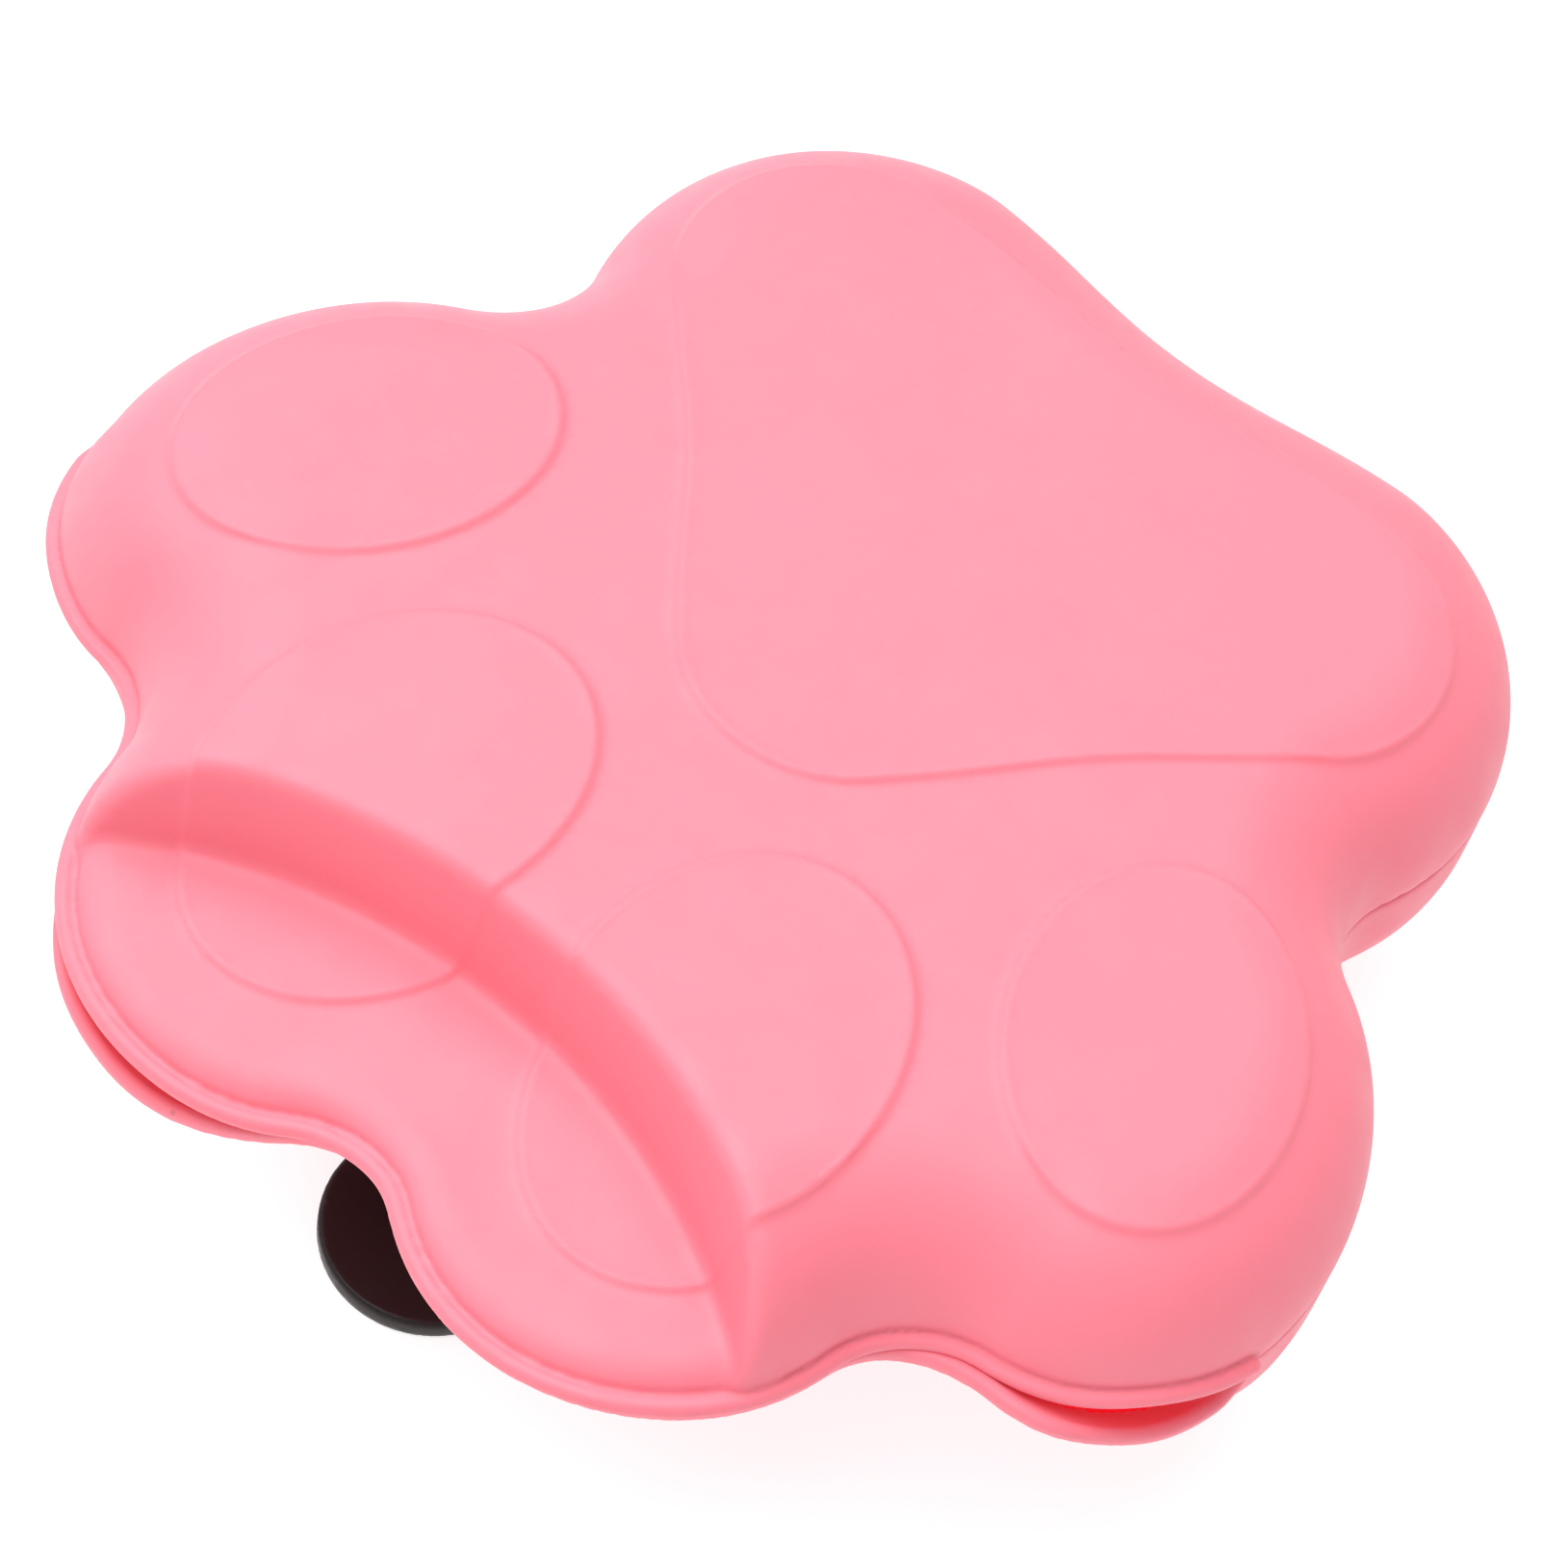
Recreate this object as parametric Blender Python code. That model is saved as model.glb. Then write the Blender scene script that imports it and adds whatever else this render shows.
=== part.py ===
"""Paw-shaped silicone treat pouch with a sprung belt clip on its back.

Millimetres here, metres in the scene. +Z points out of the paw's front face, +Y towards the toes
and the mouth, and the pouch lies on the flat outer face of its clip lever at z = 0.
"""
import math

import bmesh
import bpy
import numpy as np

MM = 0.001
GAP = 0.3                       # space kept between neighbouring pieces

# Paw outline at the parting plane, measured from the point between the outer toes
TOE_SPAN = 42.0                 # half the distance between the outer toes' centres
INNER_TOE = (0.42 * TOE_SPAN, 0.713 * TOE_SPAN)
INNER_TOE_R = 0.49 * TOE_SPAN
OUTER_TOE_SEMI = (0.48 * TOE_SPAN, 0.60 * TOE_SPAN)
OUTER_TOE_TILT = math.radians(21.5)
HEEL_X = 0.51 * TOE_SPAN
HEEL_Y = -1.008 * TOE_SPAN
HEEL_R = 0.60 * TOE_SPAN
HEEL_DIP = 2.9                  # how far the heel's edge is drawn in at the middle
HEEL_DIP_WIDTH = 14.0
NOTCH_R = 0.25 * TOE_SPAN       # fillet between two lobes
RAY_CENTRE_Y = -0.2 * TOE_SPAN  # every outline is seen whole from this point
STEPS = 96
FINE_STEPS = 720
BEYOND = 90.0                   # farther out than any piece

# Heights
TOP_Z = 43.0
PART_Z = 29.0                   # plane where the front and back halves meet
BACK_Z = 15.5
WALL = 2.5
FRONT_ROUND = 13.0
BACK_SLOPE = math.radians(38.0)  # lean of the back half's walls round the toes
UPRIGHT_Y = -8.0                # below this the back half's walls are upright
LEANING_Y = 26.0                # above this they have their full lean
SIDE_X = 35.0                   # farther out than this, the lean starts later
SIDE_DELAY = 0.7
BACK_ROUND = 7.0
BEAD_OUT = 1.1                  # the mouth's lip bead
BEAD_HEIGHT = 1.7
BEAD_TAPER = 0.5

# Thumb recess over the two inner toes
RECESS_FLOOR_Z = 32.4
RECESS_R = 1.33 * TOE_SPAN
RECESS_WALL_Y = 0.68 * TOE_SPAN
MOUTH_Y = 0.22 * TOE_SPAN       # the mouth's ends, and the line where the front flexes

# Lip magnets
MAGNET_R = 5.0
MAGNET_T = 1.0
COVER_T = 0.6
POCKET_DEPTH = COVER_T + GAP + MAGNET_T + GAP
BOSS_R = MAGNET_R + 4.0
BOSS_DEPTH = POCKET_DEPTH + 1.2
BOSS_INSET = 10.5

# Belt clip
CLIP_HALF_W = 13.0
PLATE_T = 2.2
TAB_HALF_W = 9.7                # the lever narrows to its thumb tab
TAB_TAPER = (7.0, 17.0)         # from the pivot, where the narrowing starts and ends
CLIP_TIP_Y = 1.012 * TOE_SPAN
JAW_LENGTH = 54.0               # pivot to jaw tip
PIVOT_DROP = 31.624             # thumb tip to pivot
PIVOT_Z = 7.2
PIN_R = 1.5
PIN_HEAD_R = 2.4
PIN_HEAD_T = 0.8
EAR_R = 4.4
EAR_T = 2.1
EAR_SPREAD = 1.5                # how much wider a lug gets at its plate
SEAT = 1.0                      # depth to which a lug or a post runs into its plate
JAW_R = 10.0
JAW_CORNER_R = 9.0
JAW_CORNER_BELOW = 5.0          # the jaw's corners are partly cut by its curl
TAPER_STEPS = 6
BASE_TOP_Z = BACK_Z - GAP
BASE_LOW_Z = BASE_TOP_Z - PLATE_T
BASE_ENDS = (2.0, 18.0)         # past the jaw's tip, and past the pivot
BASE_CORNERS = (5.0, 9.0)
SCREW_X = 7.0
SCREW_R = 1.0
SCREW_HEAD_R = 2.1
SCREW_HEAD_T = 1.3
SCREW_CROWN_R = 1.5
SCREW_RIM_T = 0.8
SCREW_SLOT = (6.0, 0.5, 0.7)    # length, width and depth
POST_R = 3.0
BACKING_T = 1.5
BACKING_EDGE = 6.0              # screw centre to the backing plate's end
BACKING_SIDE = 5.0

# Clip spring
WIRE_R = 0.45
COIL_R = 3.2
COIL_TURNS = 5
COIL_HALF = 4.6
SPRING_LEG = 12.0


def segment_distance(x, y, half_length):
    """Distance from points to a segment along X, centred at the origin."""
    return np.hypot(np.maximum(np.abs(x) - half_length, 0.0), y)


def ellipse_distance(x, y, semi, tilt):
    """Signed distance, to first order, to an ellipse whose long axis leans by tilt from +Y."""
    along = x * math.sin(tilt) + y * math.cos(tilt)
    across = x * math.cos(tilt) - y * math.sin(tilt)
    scaled = np.hypot(across / semi[0], along / semi[1])
    slope = np.hypot(across / semi[0] ** 2, along / semi[1] ** 2)
    return scaled * (scaled - 1.0) / np.maximum(slope, 1e-9)


def lobes_distance(x, y):
    """Signed distance to the bare union of the paw's lobes, mirrored about x = 0."""
    x = np.abs(x)
    inner = np.hypot(x - INNER_TOE[0], y - INNER_TOE[1]) - INNER_TOE_R
    outer = ellipse_distance(x - TOE_SPAN, y, OUTER_TOE_SEMI, OUTER_TOE_TILT)
    dip = HEEL_DIP * np.exp(-(x / HEEL_DIP_WIDTH) ** 2)
    heel = segment_distance(x, y - HEEL_Y, HEEL_X) - HEEL_R + dip
    return np.minimum(np.minimum(inner, outer), heel)


def ray_points(angles, radii):
    return np.stack([radii * np.cos(angles), RAY_CENTRE_Y + radii * np.sin(angles)], axis=1)


def solve_rays(angles, value, low, high):
    """Radius on each ray at which value(x, y, angle) turns positive."""
    low = np.full(len(angles), low)
    high = np.full(len(angles), high)
    for _ in range(40):
        middle = (low + high) / 2.0
        points = ray_points(angles, middle)
        outside = value(points[:, 0], points[:, 1], middle) > 0.0
        low = np.where(outside, low, middle)
        high = np.where(outside, middle, high)
    return (low + high) / 2.0


def angles_round(count):
    return math.pi / 2.0 + np.arange(count) * 2.0 * math.pi / count


def offset_radii(base, inset, count):
    """Radii of the ring that lies inset inside the star-shaped outline base."""
    fine = angles_round(len(base))
    edge = ray_points(fine, base)
    step = np.roll(edge, -1, axis=0) - edge
    angles = angles_round(count)
    reach = np.interp(angles, np.append(fine, fine[0] + 2.0 * math.pi), np.append(base, base[0]))

    def value(x, y, radius):
        offset_x = x[:, None] - edge[None, :, 0]
        offset_y = y[:, None] - edge[None, :, 1]
        along = (offset_x * step[:, 0] + offset_y * step[:, 1]) / (step ** 2).sum(axis=1)
        along = np.clip(along, 0.0, 1.0)
        gap = np.hypot(offset_x - along * step[:, 0], offset_y - along * step[:, 1]).min(axis=1)
        return np.where(radius < reach, -gap, gap) + inset

    return solve_rays(angles, value, 1.0, 110.0)


def paw_outline():
    """The lobes, closed over their notches by a rolling circle of radius NOTCH_R."""
    angles = angles_round(FINE_STEPS)
    swollen = solve_rays(angles, lambda x, y, r: lobes_distance(x, y) - NOTCH_R, 20.0, 110.0)
    return offset_radii(swollen, NOTCH_R, FINE_STEPS)


OUTLINE = paw_outline()
EDGE = ray_points(angles_round(FINE_STEPS), OUTLINE)
CENTRE_Y = (EDGE[:, 1].min() + EDGE[:, 1].max() + BEAD_OUT) / 2.0
MOUTH_LINE_Y = MOUTH_Y - CENTRE_Y
RECESS_CENTRE_Y = RECESS_WALL_Y + RECESS_R - CENTRE_Y
TIP_Y = CLIP_TIP_Y - CENTRE_Y
PIVOT_Y = TIP_Y - PIVOT_DROP
JAW_Y = PIVOT_Y - JAW_LENGTH
SCREW_YS = (PIVOT_Y - 42.0, PIVOT_Y + 10.0)


def ring(inset, z):
    """The outline drawn in by inset, at height z, centred on the part's origin."""
    points = ray_points(angles_round(STEPS), offset_radii(OUTLINE, inset, STEPS))
    return [(x, y - CENTRE_Y, z) for x, y in points]


def material(name, colour, roughness, metallic=0.0):
    made = bpy.data.materials.new(name)
    made.use_nodes = True
    shader = made.node_tree.nodes["Principled BSDF"]
    shader.inputs["Base Color"].default_value = (*colour, 1.0)
    shader.inputs["Roughness"].default_value = roughness
    shader.inputs["Metallic"].default_value = metallic
    return made


def make_object(name, vertices, faces):
    mesh = bpy.data.meshes.new(name)
    mesh.from_pydata([(x * MM, y * MM, z * MM) for x, y, z in vertices], [], faces)
    made = bpy.data.objects.new(name, mesh)
    bpy.context.scene.collection.objects.link(made)
    return made


def loft(name, rings):
    """A closed solid through rings of equal length, the last one above the first."""
    count = len(rings[0])
    vertices = [point for one in rings for point in one]
    faces = []
    for level in range(len(rings) - 1):
        for i in range(count):
            j = (i + 1) % count
            low, high = level * count, (level + 1) * count
            faces.append((low + i, low + j, high + j, high + i))
    faces.append(tuple(reversed(range(count))))
    faces.append(tuple(range((len(rings) - 1) * count, len(rings) * count)))
    return make_object(name, vertices, faces)


def cylinder(name, radius, centre, low, high, axis="Z", sides=24):
    """A round bar from low to high along axis; centre holds the other two coordinates in order."""
    angles = [2.0 * math.pi * i / sides for i in range(sides)]
    circle = [(centre[0] + radius * math.cos(a), centre[1] + radius * math.sin(a)) for a in angles]
    return prism(name, circle, low, high, axis)


def prism(name, outline, low, high, axis="Z"):
    """A counter-clockwise outline extruded along Z, or along X from an outline in Y and Z."""
    if axis == "Z":
        rings = [[(u, v, level) for u, v in outline] for level in (low, high)]
    else:
        rings = [[(level, u, v) for u, v in outline] for level in (low, high)]
    return loft(name, rings)


def combine(target, tool, operation):
    """Runs a Boolean on target and removes the tool."""
    modifier = target.modifiers.new(operation, "BOOLEAN")
    modifier.operation = operation
    modifier.solver = "EXACT"
    modifier.object = tool
    depsgraph = bpy.context.evaluated_depsgraph_get()
    mesh = bpy.data.meshes.new_from_object(target.evaluated_get(depsgraph))
    target.modifiers.clear()
    target.data = mesh
    bpy.data.objects.remove(tool)


def finish(made, look, sharp_degrees=35.0):
    made.data.materials.clear()
    made.data.materials.append(look)
    made.data.shade_smooth()
    made.data.set_sharp_from_angle(angle=math.radians(sharp_degrees))
    return made


def set_origin(made, point):
    """Moves the object's origin to point without moving its mesh."""
    target = [value * MM for value in point]
    for vertex in made.data.vertices:
        vertex.co = [vertex.co[i] - target[i] for i in range(3)]
    made.location = target


def arc(centre, radius, start, end, count):
    """Points on an arc, angles in degrees."""
    angles = [math.radians(start + (end - start) * i / count) for i in range(count + 1)]
    return [(centre[0] + radius * math.cos(a), centre[1] + radius * math.sin(a)) for a in angles]


def rounded_plate(low, high, half_width, low_r, high_r):
    """Plan outline of a plate along Y with rounded corners at both ends."""
    points = arc((half_width - low_r, low + low_r), low_r, -90, 0, 6)
    points += arc((half_width - high_r, high - high_r), high_r, 0, 90, 8)
    points += arc((high_r - half_width, high - high_r), high_r, 90, 180, 8)
    points += arc((low_r - half_width, low + low_r), low_r, 180, 270, 6)
    kept = [points[0]]
    for point in points[1:]:
        if math.dist(point, kept[-1]) > 0.01:
            kept.append(point)
    return kept


def lever_plan():
    """Plan outline of the clip's lever, narrowing from its lugs to a round thumb tab."""
    wide = CLIP_HALF_W + 0.01
    corner = (wide - JAW_CORNER_R, JAW_Y - JAW_CORNER_BELOW + JAW_CORNER_R)
    side = arc(corner, JAW_CORNER_R, -90, 0, 6)
    for i in range(TAPER_STEPS):
        share = i / TAPER_STEPS
        y = PIVOT_Y + TAB_TAPER[0] + (TAB_TAPER[1] - TAB_TAPER[0]) * share
        ease = share * share * (3.0 - 2.0 * share)
        side.append((wide + (TAB_HALF_W - wide) * ease, y))
    side += arc((0.0, TIP_Y - TAB_HALF_W), TAB_HALF_W, 0, 80, 8)
    return side + [(0.0, TIP_Y)] + [(-x, y) for x, y in reversed(side)]


def shoulder(radius, top, count=5):
    """(inset, z) pairs round the front shell's edge, from its wall up to its flat face."""
    turns = [math.radians(90.0 * i / count) for i in range(count + 1)]
    return [(radius * (1.0 - math.cos(turn)), top - radius * (1.0 - math.sin(turn))) for turn in turns]


def back_inset(depth_in, z, slope):
    """Inset at height z of a wall with this lean that bends round into the flat back face."""
    radius = BACK_ROUND - depth_in
    flat_z = BACK_Z + depth_in
    wall_in = depth_in / math.cos(slope)
    if z > flat_z + radius * (1.0 - math.sin(slope)):
        return wall_in + (PART_Z - z) * math.tan(slope)
    turn = math.asin(1.0 - (z - flat_z) / radius)
    flat_in = wall_in + (PART_Z - flat_z) * math.tan(slope)
    flat_in += radius * math.tan((math.pi / 2.0 - slope) / 2.0)
    return flat_in - radius * math.cos(turn)


def back_ring(depth_in, z):
    """The back half's outline at height z, or the one depth_in inside it."""
    upright = ring(back_inset(depth_in, z, 0.0), z)
    leaning = ring(back_inset(depth_in, z, BACK_SLOPE), z)
    points = []
    for outer, inner in zip(upright, leaning):
        delay = SIDE_DELAY * max(abs(outer[0]) - SIDE_X, 0.0)
        share = min(max((outer[1] - delay - UPRIGHT_Y) / (LEANING_Y - UPRIGHT_Y), 0.0), 1.0)
        share = share * share * (3.0 - 2.0 * share)
        points.append([outer[i] + (inner[i] - outer[i]) * share for i in range(3)])
    return points


def dish(depth_in, lip_z):
    """Rings of the back half's surface, or of the surface depth_in inside it, from the back up."""
    radius = BACK_ROUND - depth_in
    flat_z = BACK_Z + depth_in
    turns = [90.0, 72.0, 54.0, math.degrees(BACK_SLOPE), 18.0, 0.0]
    levels = [flat_z + radius * (1.0 - math.sin(math.radians(turn))) for turn in turns]
    return [back_ring(depth_in, z) for z in levels + [lip_z]]


def magnet_spots():
    """Magnet centres beside the three notches of the mouth, in the part's frame."""
    fine = angles_round(FINE_STEPS)
    inside = ray_points(fine, offset_radii(OUTLINE, BOSS_INSET, FINE_STEPS))
    side = [i for i in range(FINE_STEPS) if 20.0 < math.degrees(fine[i]) - 360.0 < 70.0]
    notch = min(side, key=lambda i: OUTLINE[i])
    x, y = inside[notch]
    y -= CENTRE_Y
    return {"left": (-x, y), "middle": (0.0, inside[0][1] - CENTRE_Y), "right": (x, y)}


MAGNETS = magnet_spots()


def front_solid(name, low_y, high_y, with_bead):
    """One piece of the front half: its shell, cut by the recess, between two values of y."""
    lip = PART_Z + GAP
    profile = [(0.0, lip)]
    if with_bead:
        bead_z = lip + BEAD_HEIGHT
        profile = [(-BEAD_OUT, lip), (-BEAD_OUT, bead_z), (0.0, bead_z + BEAD_TAPER)]
    profile += [pair for pair in shoulder(FRONT_ROUND, TOP_Z) if pair[1] > profile[-1][1]]
    outer = loft(name, [ring(*pair) for pair in profile])
    inner_shoulder = shoulder(FRONT_ROUND - WALL, TOP_Z - WALL)
    inner_rings = [(WALL, lip - 1.0)] + [(WALL + inset, z) for inset, z in inner_shoulder]
    inner = loft("inner", [ring(*pair) for pair in inner_rings])
    centre = (0.0, RECESS_CENTRE_Y)
    low = RECESS_FLOOR_Z - WALL
    combine(inner, cylinder("thick", RECESS_R + WALL, centre, low, BEYOND, sides=STEPS), "DIFFERENCE")
    if with_bead:
        for spot in MAGNETS.values():
            boss = cylinder("boss", BOSS_R, spot, lip - 2.0, lip + BOSS_DEPTH)
            combine(inner, boss, "DIFFERENCE")
    combine(outer, inner, "DIFFERENCE")
    recess = cylinder("recess", RECESS_R, centre, RECESS_FLOOR_Z, BEYOND, sides=STEPS)
    combine(outer, recess, "DIFFERENCE")
    if with_bead:
        for spot in MAGNETS.values():
            pocket = cylinder("pocket", MAGNET_R + GAP, spot, lip - 1.0, lip + POCKET_DEPTH)
            combine(outer, pocket, "DIFFERENCE")
    corners = [(-BEYOND, low_y), (BEYOND, low_y), (BEYOND, high_y), (-BEYOND, high_y)]
    combine(outer, prism("keep", corners, 0.0, BEYOND), "INTERSECT")
    return outer


def back_solid():
    """The back half: shell, magnet bosses and the four holes for the clip's bosses."""
    lip = PART_Z - GAP
    outer = loft("back_shell", dish(0.0, lip))
    inner = loft("inner", dish(WALL, lip + 1.0))
    for spot in MAGNETS.values():
        boss = cylinder("boss", BOSS_R, spot, lip - BOSS_DEPTH, lip + 2.0)
        combine(inner, boss, "DIFFERENCE")
    combine(outer, inner, "DIFFERENCE")
    for spot in MAGNETS.values():
        pocket = cylinder("pocket", MAGNET_R + GAP, spot, lip - POCKET_DEPTH, lip + 1.0)
        combine(outer, pocket, "DIFFERENCE")
    for x in (-SCREW_X, SCREW_X):
        for y in SCREW_YS:
            hole = cylinder("hole", POST_R + GAP, (x, y), BACK_Z - 1.0, BACK_Z + WALL + 1.0)
            combine(outer, hole, "DIFFERENCE")
    return outer


def magnet_pair(side, spot, steel, silicone):
    """The two magnets beside one notch, and the silicone covers that close their pockets."""
    for half, direction in (("front", 1.0), ("back", -1.0)):
        face = PART_Z + direction * GAP
        cover = sorted((face, face + direction * COVER_T))
        start = face + direction * (COVER_T + GAP)
        magnet = sorted((start, start + direction * MAGNET_T))
        finish(cylinder(f"{half}_magnet_cover_{side}", MAGNET_R, spot, *cover), silicone)
        finish(cylinder(f"{half}_magnet_{side}", MAGNET_R, spot, *magnet), steel)


def ear(name, x_low, top_z):
    """A lug round the pivot, joined to its plate at top_z above or below the pivot."""
    reach = EAR_R + EAR_SPREAD
    if top_z > PIVOT_Z:
        outline = arc((PIVOT_Y, PIVOT_Z), EAR_R, 180, 360, 12)
        outline += [(PIVOT_Y + reach, top_z), (PIVOT_Y - reach, top_z)]
    else:
        outline = arc((PIVOT_Y, PIVOT_Z), EAR_R, 0, 180, 12)
        outline += [(PIVOT_Y - reach, top_z), (PIVOT_Y + reach, top_z)]
    return prism(name, outline, x_low, x_low + EAR_T, axis="X")


def drill_pivot(target):
    tool = cylinder("bore", PIN_R + GAP, (PIVOT_Y, PIVOT_Z), -BEYOND, BEYOND, axis="X")
    combine(target, tool, "DIFFERENCE")


def clip_base():
    """Plate against the pouch's back, with two outer lugs and four screw bosses."""
    low, high = JAW_Y - BASE_ENDS[0], PIVOT_Y + BASE_ENDS[1]
    plan = rounded_plate(low, high, CLIP_HALF_W, *BASE_CORNERS)
    base = prism("clip_base", plan, BASE_LOW_Z, BASE_TOP_Z)
    for x_low in (-CLIP_HALF_W, CLIP_HALF_W - EAR_T):
        combine(base, ear("ear", x_low, BASE_LOW_Z + SEAT), "UNION")
    for x in (-SCREW_X, SCREW_X):
        for y in SCREW_YS:
            post_z = BASE_LOW_Z + SEAT
            post = cylinder("post", POST_R, (x, y), post_z, BACK_Z + WALL - GAP, sides=20)
            combine(base, post, "UNION")
            pilot = cylinder("pilot", SCREW_R + GAP, (x, y), post_z - 0.1, BEYOND, sides=16)
            combine(base, pilot, "DIFFERENCE")
    drill_pivot(base)
    return base


def clip_lever():
    """Thumb tab, flat middle and up-curled jaw in one plate, with two inner lugs."""
    tip_z = BASE_LOW_Z - GAP
    curl = (JAW_Y + JAW_R, JAW_R)
    profile = [(TIP_Y, 0.0), (TIP_Y, PLATE_T)]
    profile += arc(curl, JAW_R - PLATE_T, 270, 180, 8)
    profile += [(JAW_Y + PLATE_T, tip_z), (JAW_Y, tip_z)]
    profile += arc(curl, JAW_R, 180, 270, 8)
    lever = prism("clip_lever", profile, -CLIP_HALF_W, CLIP_HALF_W, axis="X")
    combine(lever, prism("plan", lever_plan(), -1.0, BEYOND), "INTERSECT")
    inner_x = CLIP_HALF_W - 2.0 * EAR_T - 0.5
    for x_low in (-inner_x - EAR_T, inner_x):
        combine(lever, ear("ear", x_low, PLATE_T - SEAT), "UNION")
    drill_pivot(lever)
    return lever


def clip_pin():
    """Pivot pin with a flat head outside each outer lug."""
    shaft_end = CLIP_HALF_W + GAP
    head_end = shaft_end + PIN_HEAD_T
    profile = [(-head_end, PIN_HEAD_R), (-shaft_end, PIN_HEAD_R), (-shaft_end, PIN_R)]
    profile += [(shaft_end, PIN_R), (shaft_end, PIN_HEAD_R), (head_end, PIN_HEAD_R)]
    rings = []
    for x, radius in profile:
        circle = arc((PIVOT_Y, PIVOT_Z), radius, 0, 360 - 360 / 20, 19)
        rings.append([(x, y, z) for y, z in circle])
    return loft("clip_pivot_pin", rings)


def spring_path():
    """Torsion spring: a leg on the lever, turns round the pin, and a leg under the base."""
    low_z = PLATE_T + GAP + WIRE_R
    high_z = BASE_LOW_Z - GAP - WIRE_R
    sweep = math.radians(180.0 + 360.0 * COIL_TURNS)
    path = [(-COIL_HALF, PIVOT_Y + SPRING_LEG, low_z)]
    count = 14 * COIL_TURNS
    for i in range(count + 1):
        share = i / count
        turn = -math.pi / 2.0 - sweep * share
        x = COIL_HALF * (2.0 * share - 1.0)
        path.append((x, PIVOT_Y + COIL_R * math.cos(turn), PIVOT_Z + COIL_R * math.sin(turn)))
    path.append((COIL_HALF, PIVOT_Y + SPRING_LEG, high_z))
    return path


def clip_spring():
    path = spring_path()
    curve = bpy.data.curves.new("clip_spring", "CURVE")
    curve.dimensions = "3D"
    spline = curve.splines.new("POLY")
    spline.points.add(len(path) - 1)
    for point, spot in zip(spline.points, path):
        point.co = (spot[0] * MM, spot[1] * MM, spot[2] * MM, 1.0)
    curve.bevel_depth = WIRE_R * MM
    curve.bevel_resolution = 1
    curve.use_fill_caps = True
    guide = bpy.data.objects.new("guide", curve)
    bpy.context.scene.collection.objects.link(guide)
    depsgraph = bpy.context.evaluated_depsgraph_get()
    mesh = bpy.data.meshes.new_from_object(guide.evaluated_get(depsgraph))
    bpy.data.objects.remove(guide)
    shape = bmesh.new()
    shape.from_mesh(mesh)
    bmesh.ops.remove_doubles(shape, verts=shape.verts, dist=1e-7)
    bmesh.ops.recalc_face_normals(shape, faces=shape.faces)
    shape.to_mesh(mesh)
    shape.free()
    spring = bpy.data.objects.new("clip_spring", mesh)
    bpy.context.scene.collection.objects.link(spring)
    return spring


def backing_plate():
    """Stiffener inside the pouch that the four clip screws pull against."""
    low = BACK_Z + WALL + GAP
    low_y, high_y = SCREW_YS[0] - BACKING_EDGE, SCREW_YS[1] + BACKING_EDGE
    plan = rounded_plate(low_y, high_y, SCREW_X + BACKING_SIDE, BACKING_SIDE, BACKING_SIDE)
    plate = prism("clip_backing_plate", plan, low, low + BACKING_T)
    for x in (-SCREW_X, SCREW_X):
        for y in SCREW_YS:
            hole = cylinder("hole", SCREW_R + GAP, (x, y), 0.0, BEYOND, sides=16)
            combine(plate, hole, "DIFFERENCE")
    return plate


def clip_screw(name, x, y):
    """Pan-head screw, head up inside the pouch."""
    head_z = BACK_Z + WALL + GAP + BACKING_T + GAP
    top = head_z + SCREW_HEAD_T
    profile = [(SCREW_R, BASE_LOW_Z + SEAT + 0.4), (SCREW_R, head_z), (SCREW_HEAD_R, head_z)]
    profile += [(SCREW_HEAD_R, head_z + SCREW_RIM_T), (SCREW_CROWN_R, top)]
    rings = []
    for radius, z in profile:
        rings.append([(px, py, z) for px, py in arc((x, y), radius, 0, 360 - 360 / 16, 15)])
    screw = loft(name, rings)
    half_long, half_wide = SCREW_SLOT[0] / 2.0, SCREW_SLOT[1] / 2.0
    slot = [(x - half_long, y - half_wide), (x + half_long, y - half_wide)]
    slot += [(x + half_long, y + half_wide), (x - half_long, y + half_wide)]
    combine(screw, prism("slot", slot, top - SCREW_SLOT[2], BEYOND), "DIFFERENCE")
    return screw


def main():
    for old in list(bpy.data.objects):
        bpy.data.objects.remove(old)
    silicone = material("pink_silicone", (0.90, 0.36, 0.42), 0.5)
    lip_silicone = material("magnet_cover_silicone", (0.85, 0.32, 0.38), 0.5)
    plastic = material("black_plastic", (0.015, 0.012, 0.012), 0.35)
    inner_plastic = material("backing_plastic", (0.03, 0.03, 0.03), 0.5)
    steel = material("bright_steel", (0.6, 0.6, 0.62), 0.3, 1.0)
    plating = material("nickel_plate", (0.7, 0.7, 0.7), 0.2, 1.0)

    split = GAP / 2.0
    finish(back_solid(), silicone)
    finish(front_solid("front_shell", -BEYOND, MOUTH_LINE_Y - split, False), silicone)
    flap = finish(front_solid("mouth_flap", MOUTH_LINE_Y + split, BEYOND, True), silicone)
    set_origin(flap, (0.0, MOUTH_LINE_Y, TOP_Z))
    for side, spot in MAGNETS.items():
        magnet_pair(side, spot, plating, lip_silicone)
    finish(clip_base(), plastic)
    lever = finish(clip_lever(), plastic)
    set_origin(lever, (0.0, PIVOT_Y, PIVOT_Z))
    finish(clip_pin(), steel)
    finish(clip_spring(), steel)
    finish(backing_plate(), inner_plastic)
    for level, y in zip(("lower", "upper"), SCREW_YS):
        for side, x in (("left", -SCREW_X), ("right", SCREW_X)):
            finish(clip_screw(f"clip_screw_{level}_{side}", x, y), steel)


main()
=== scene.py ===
"""Looks of the paw-shaped treat pouch: silicone skins, belt clip, materials, light and camera.

The two silicone skins are meshed from signed distance fields, in millimetres, and then scaled to
metres. A field is negative inside the silicone.
"""
import math

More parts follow.
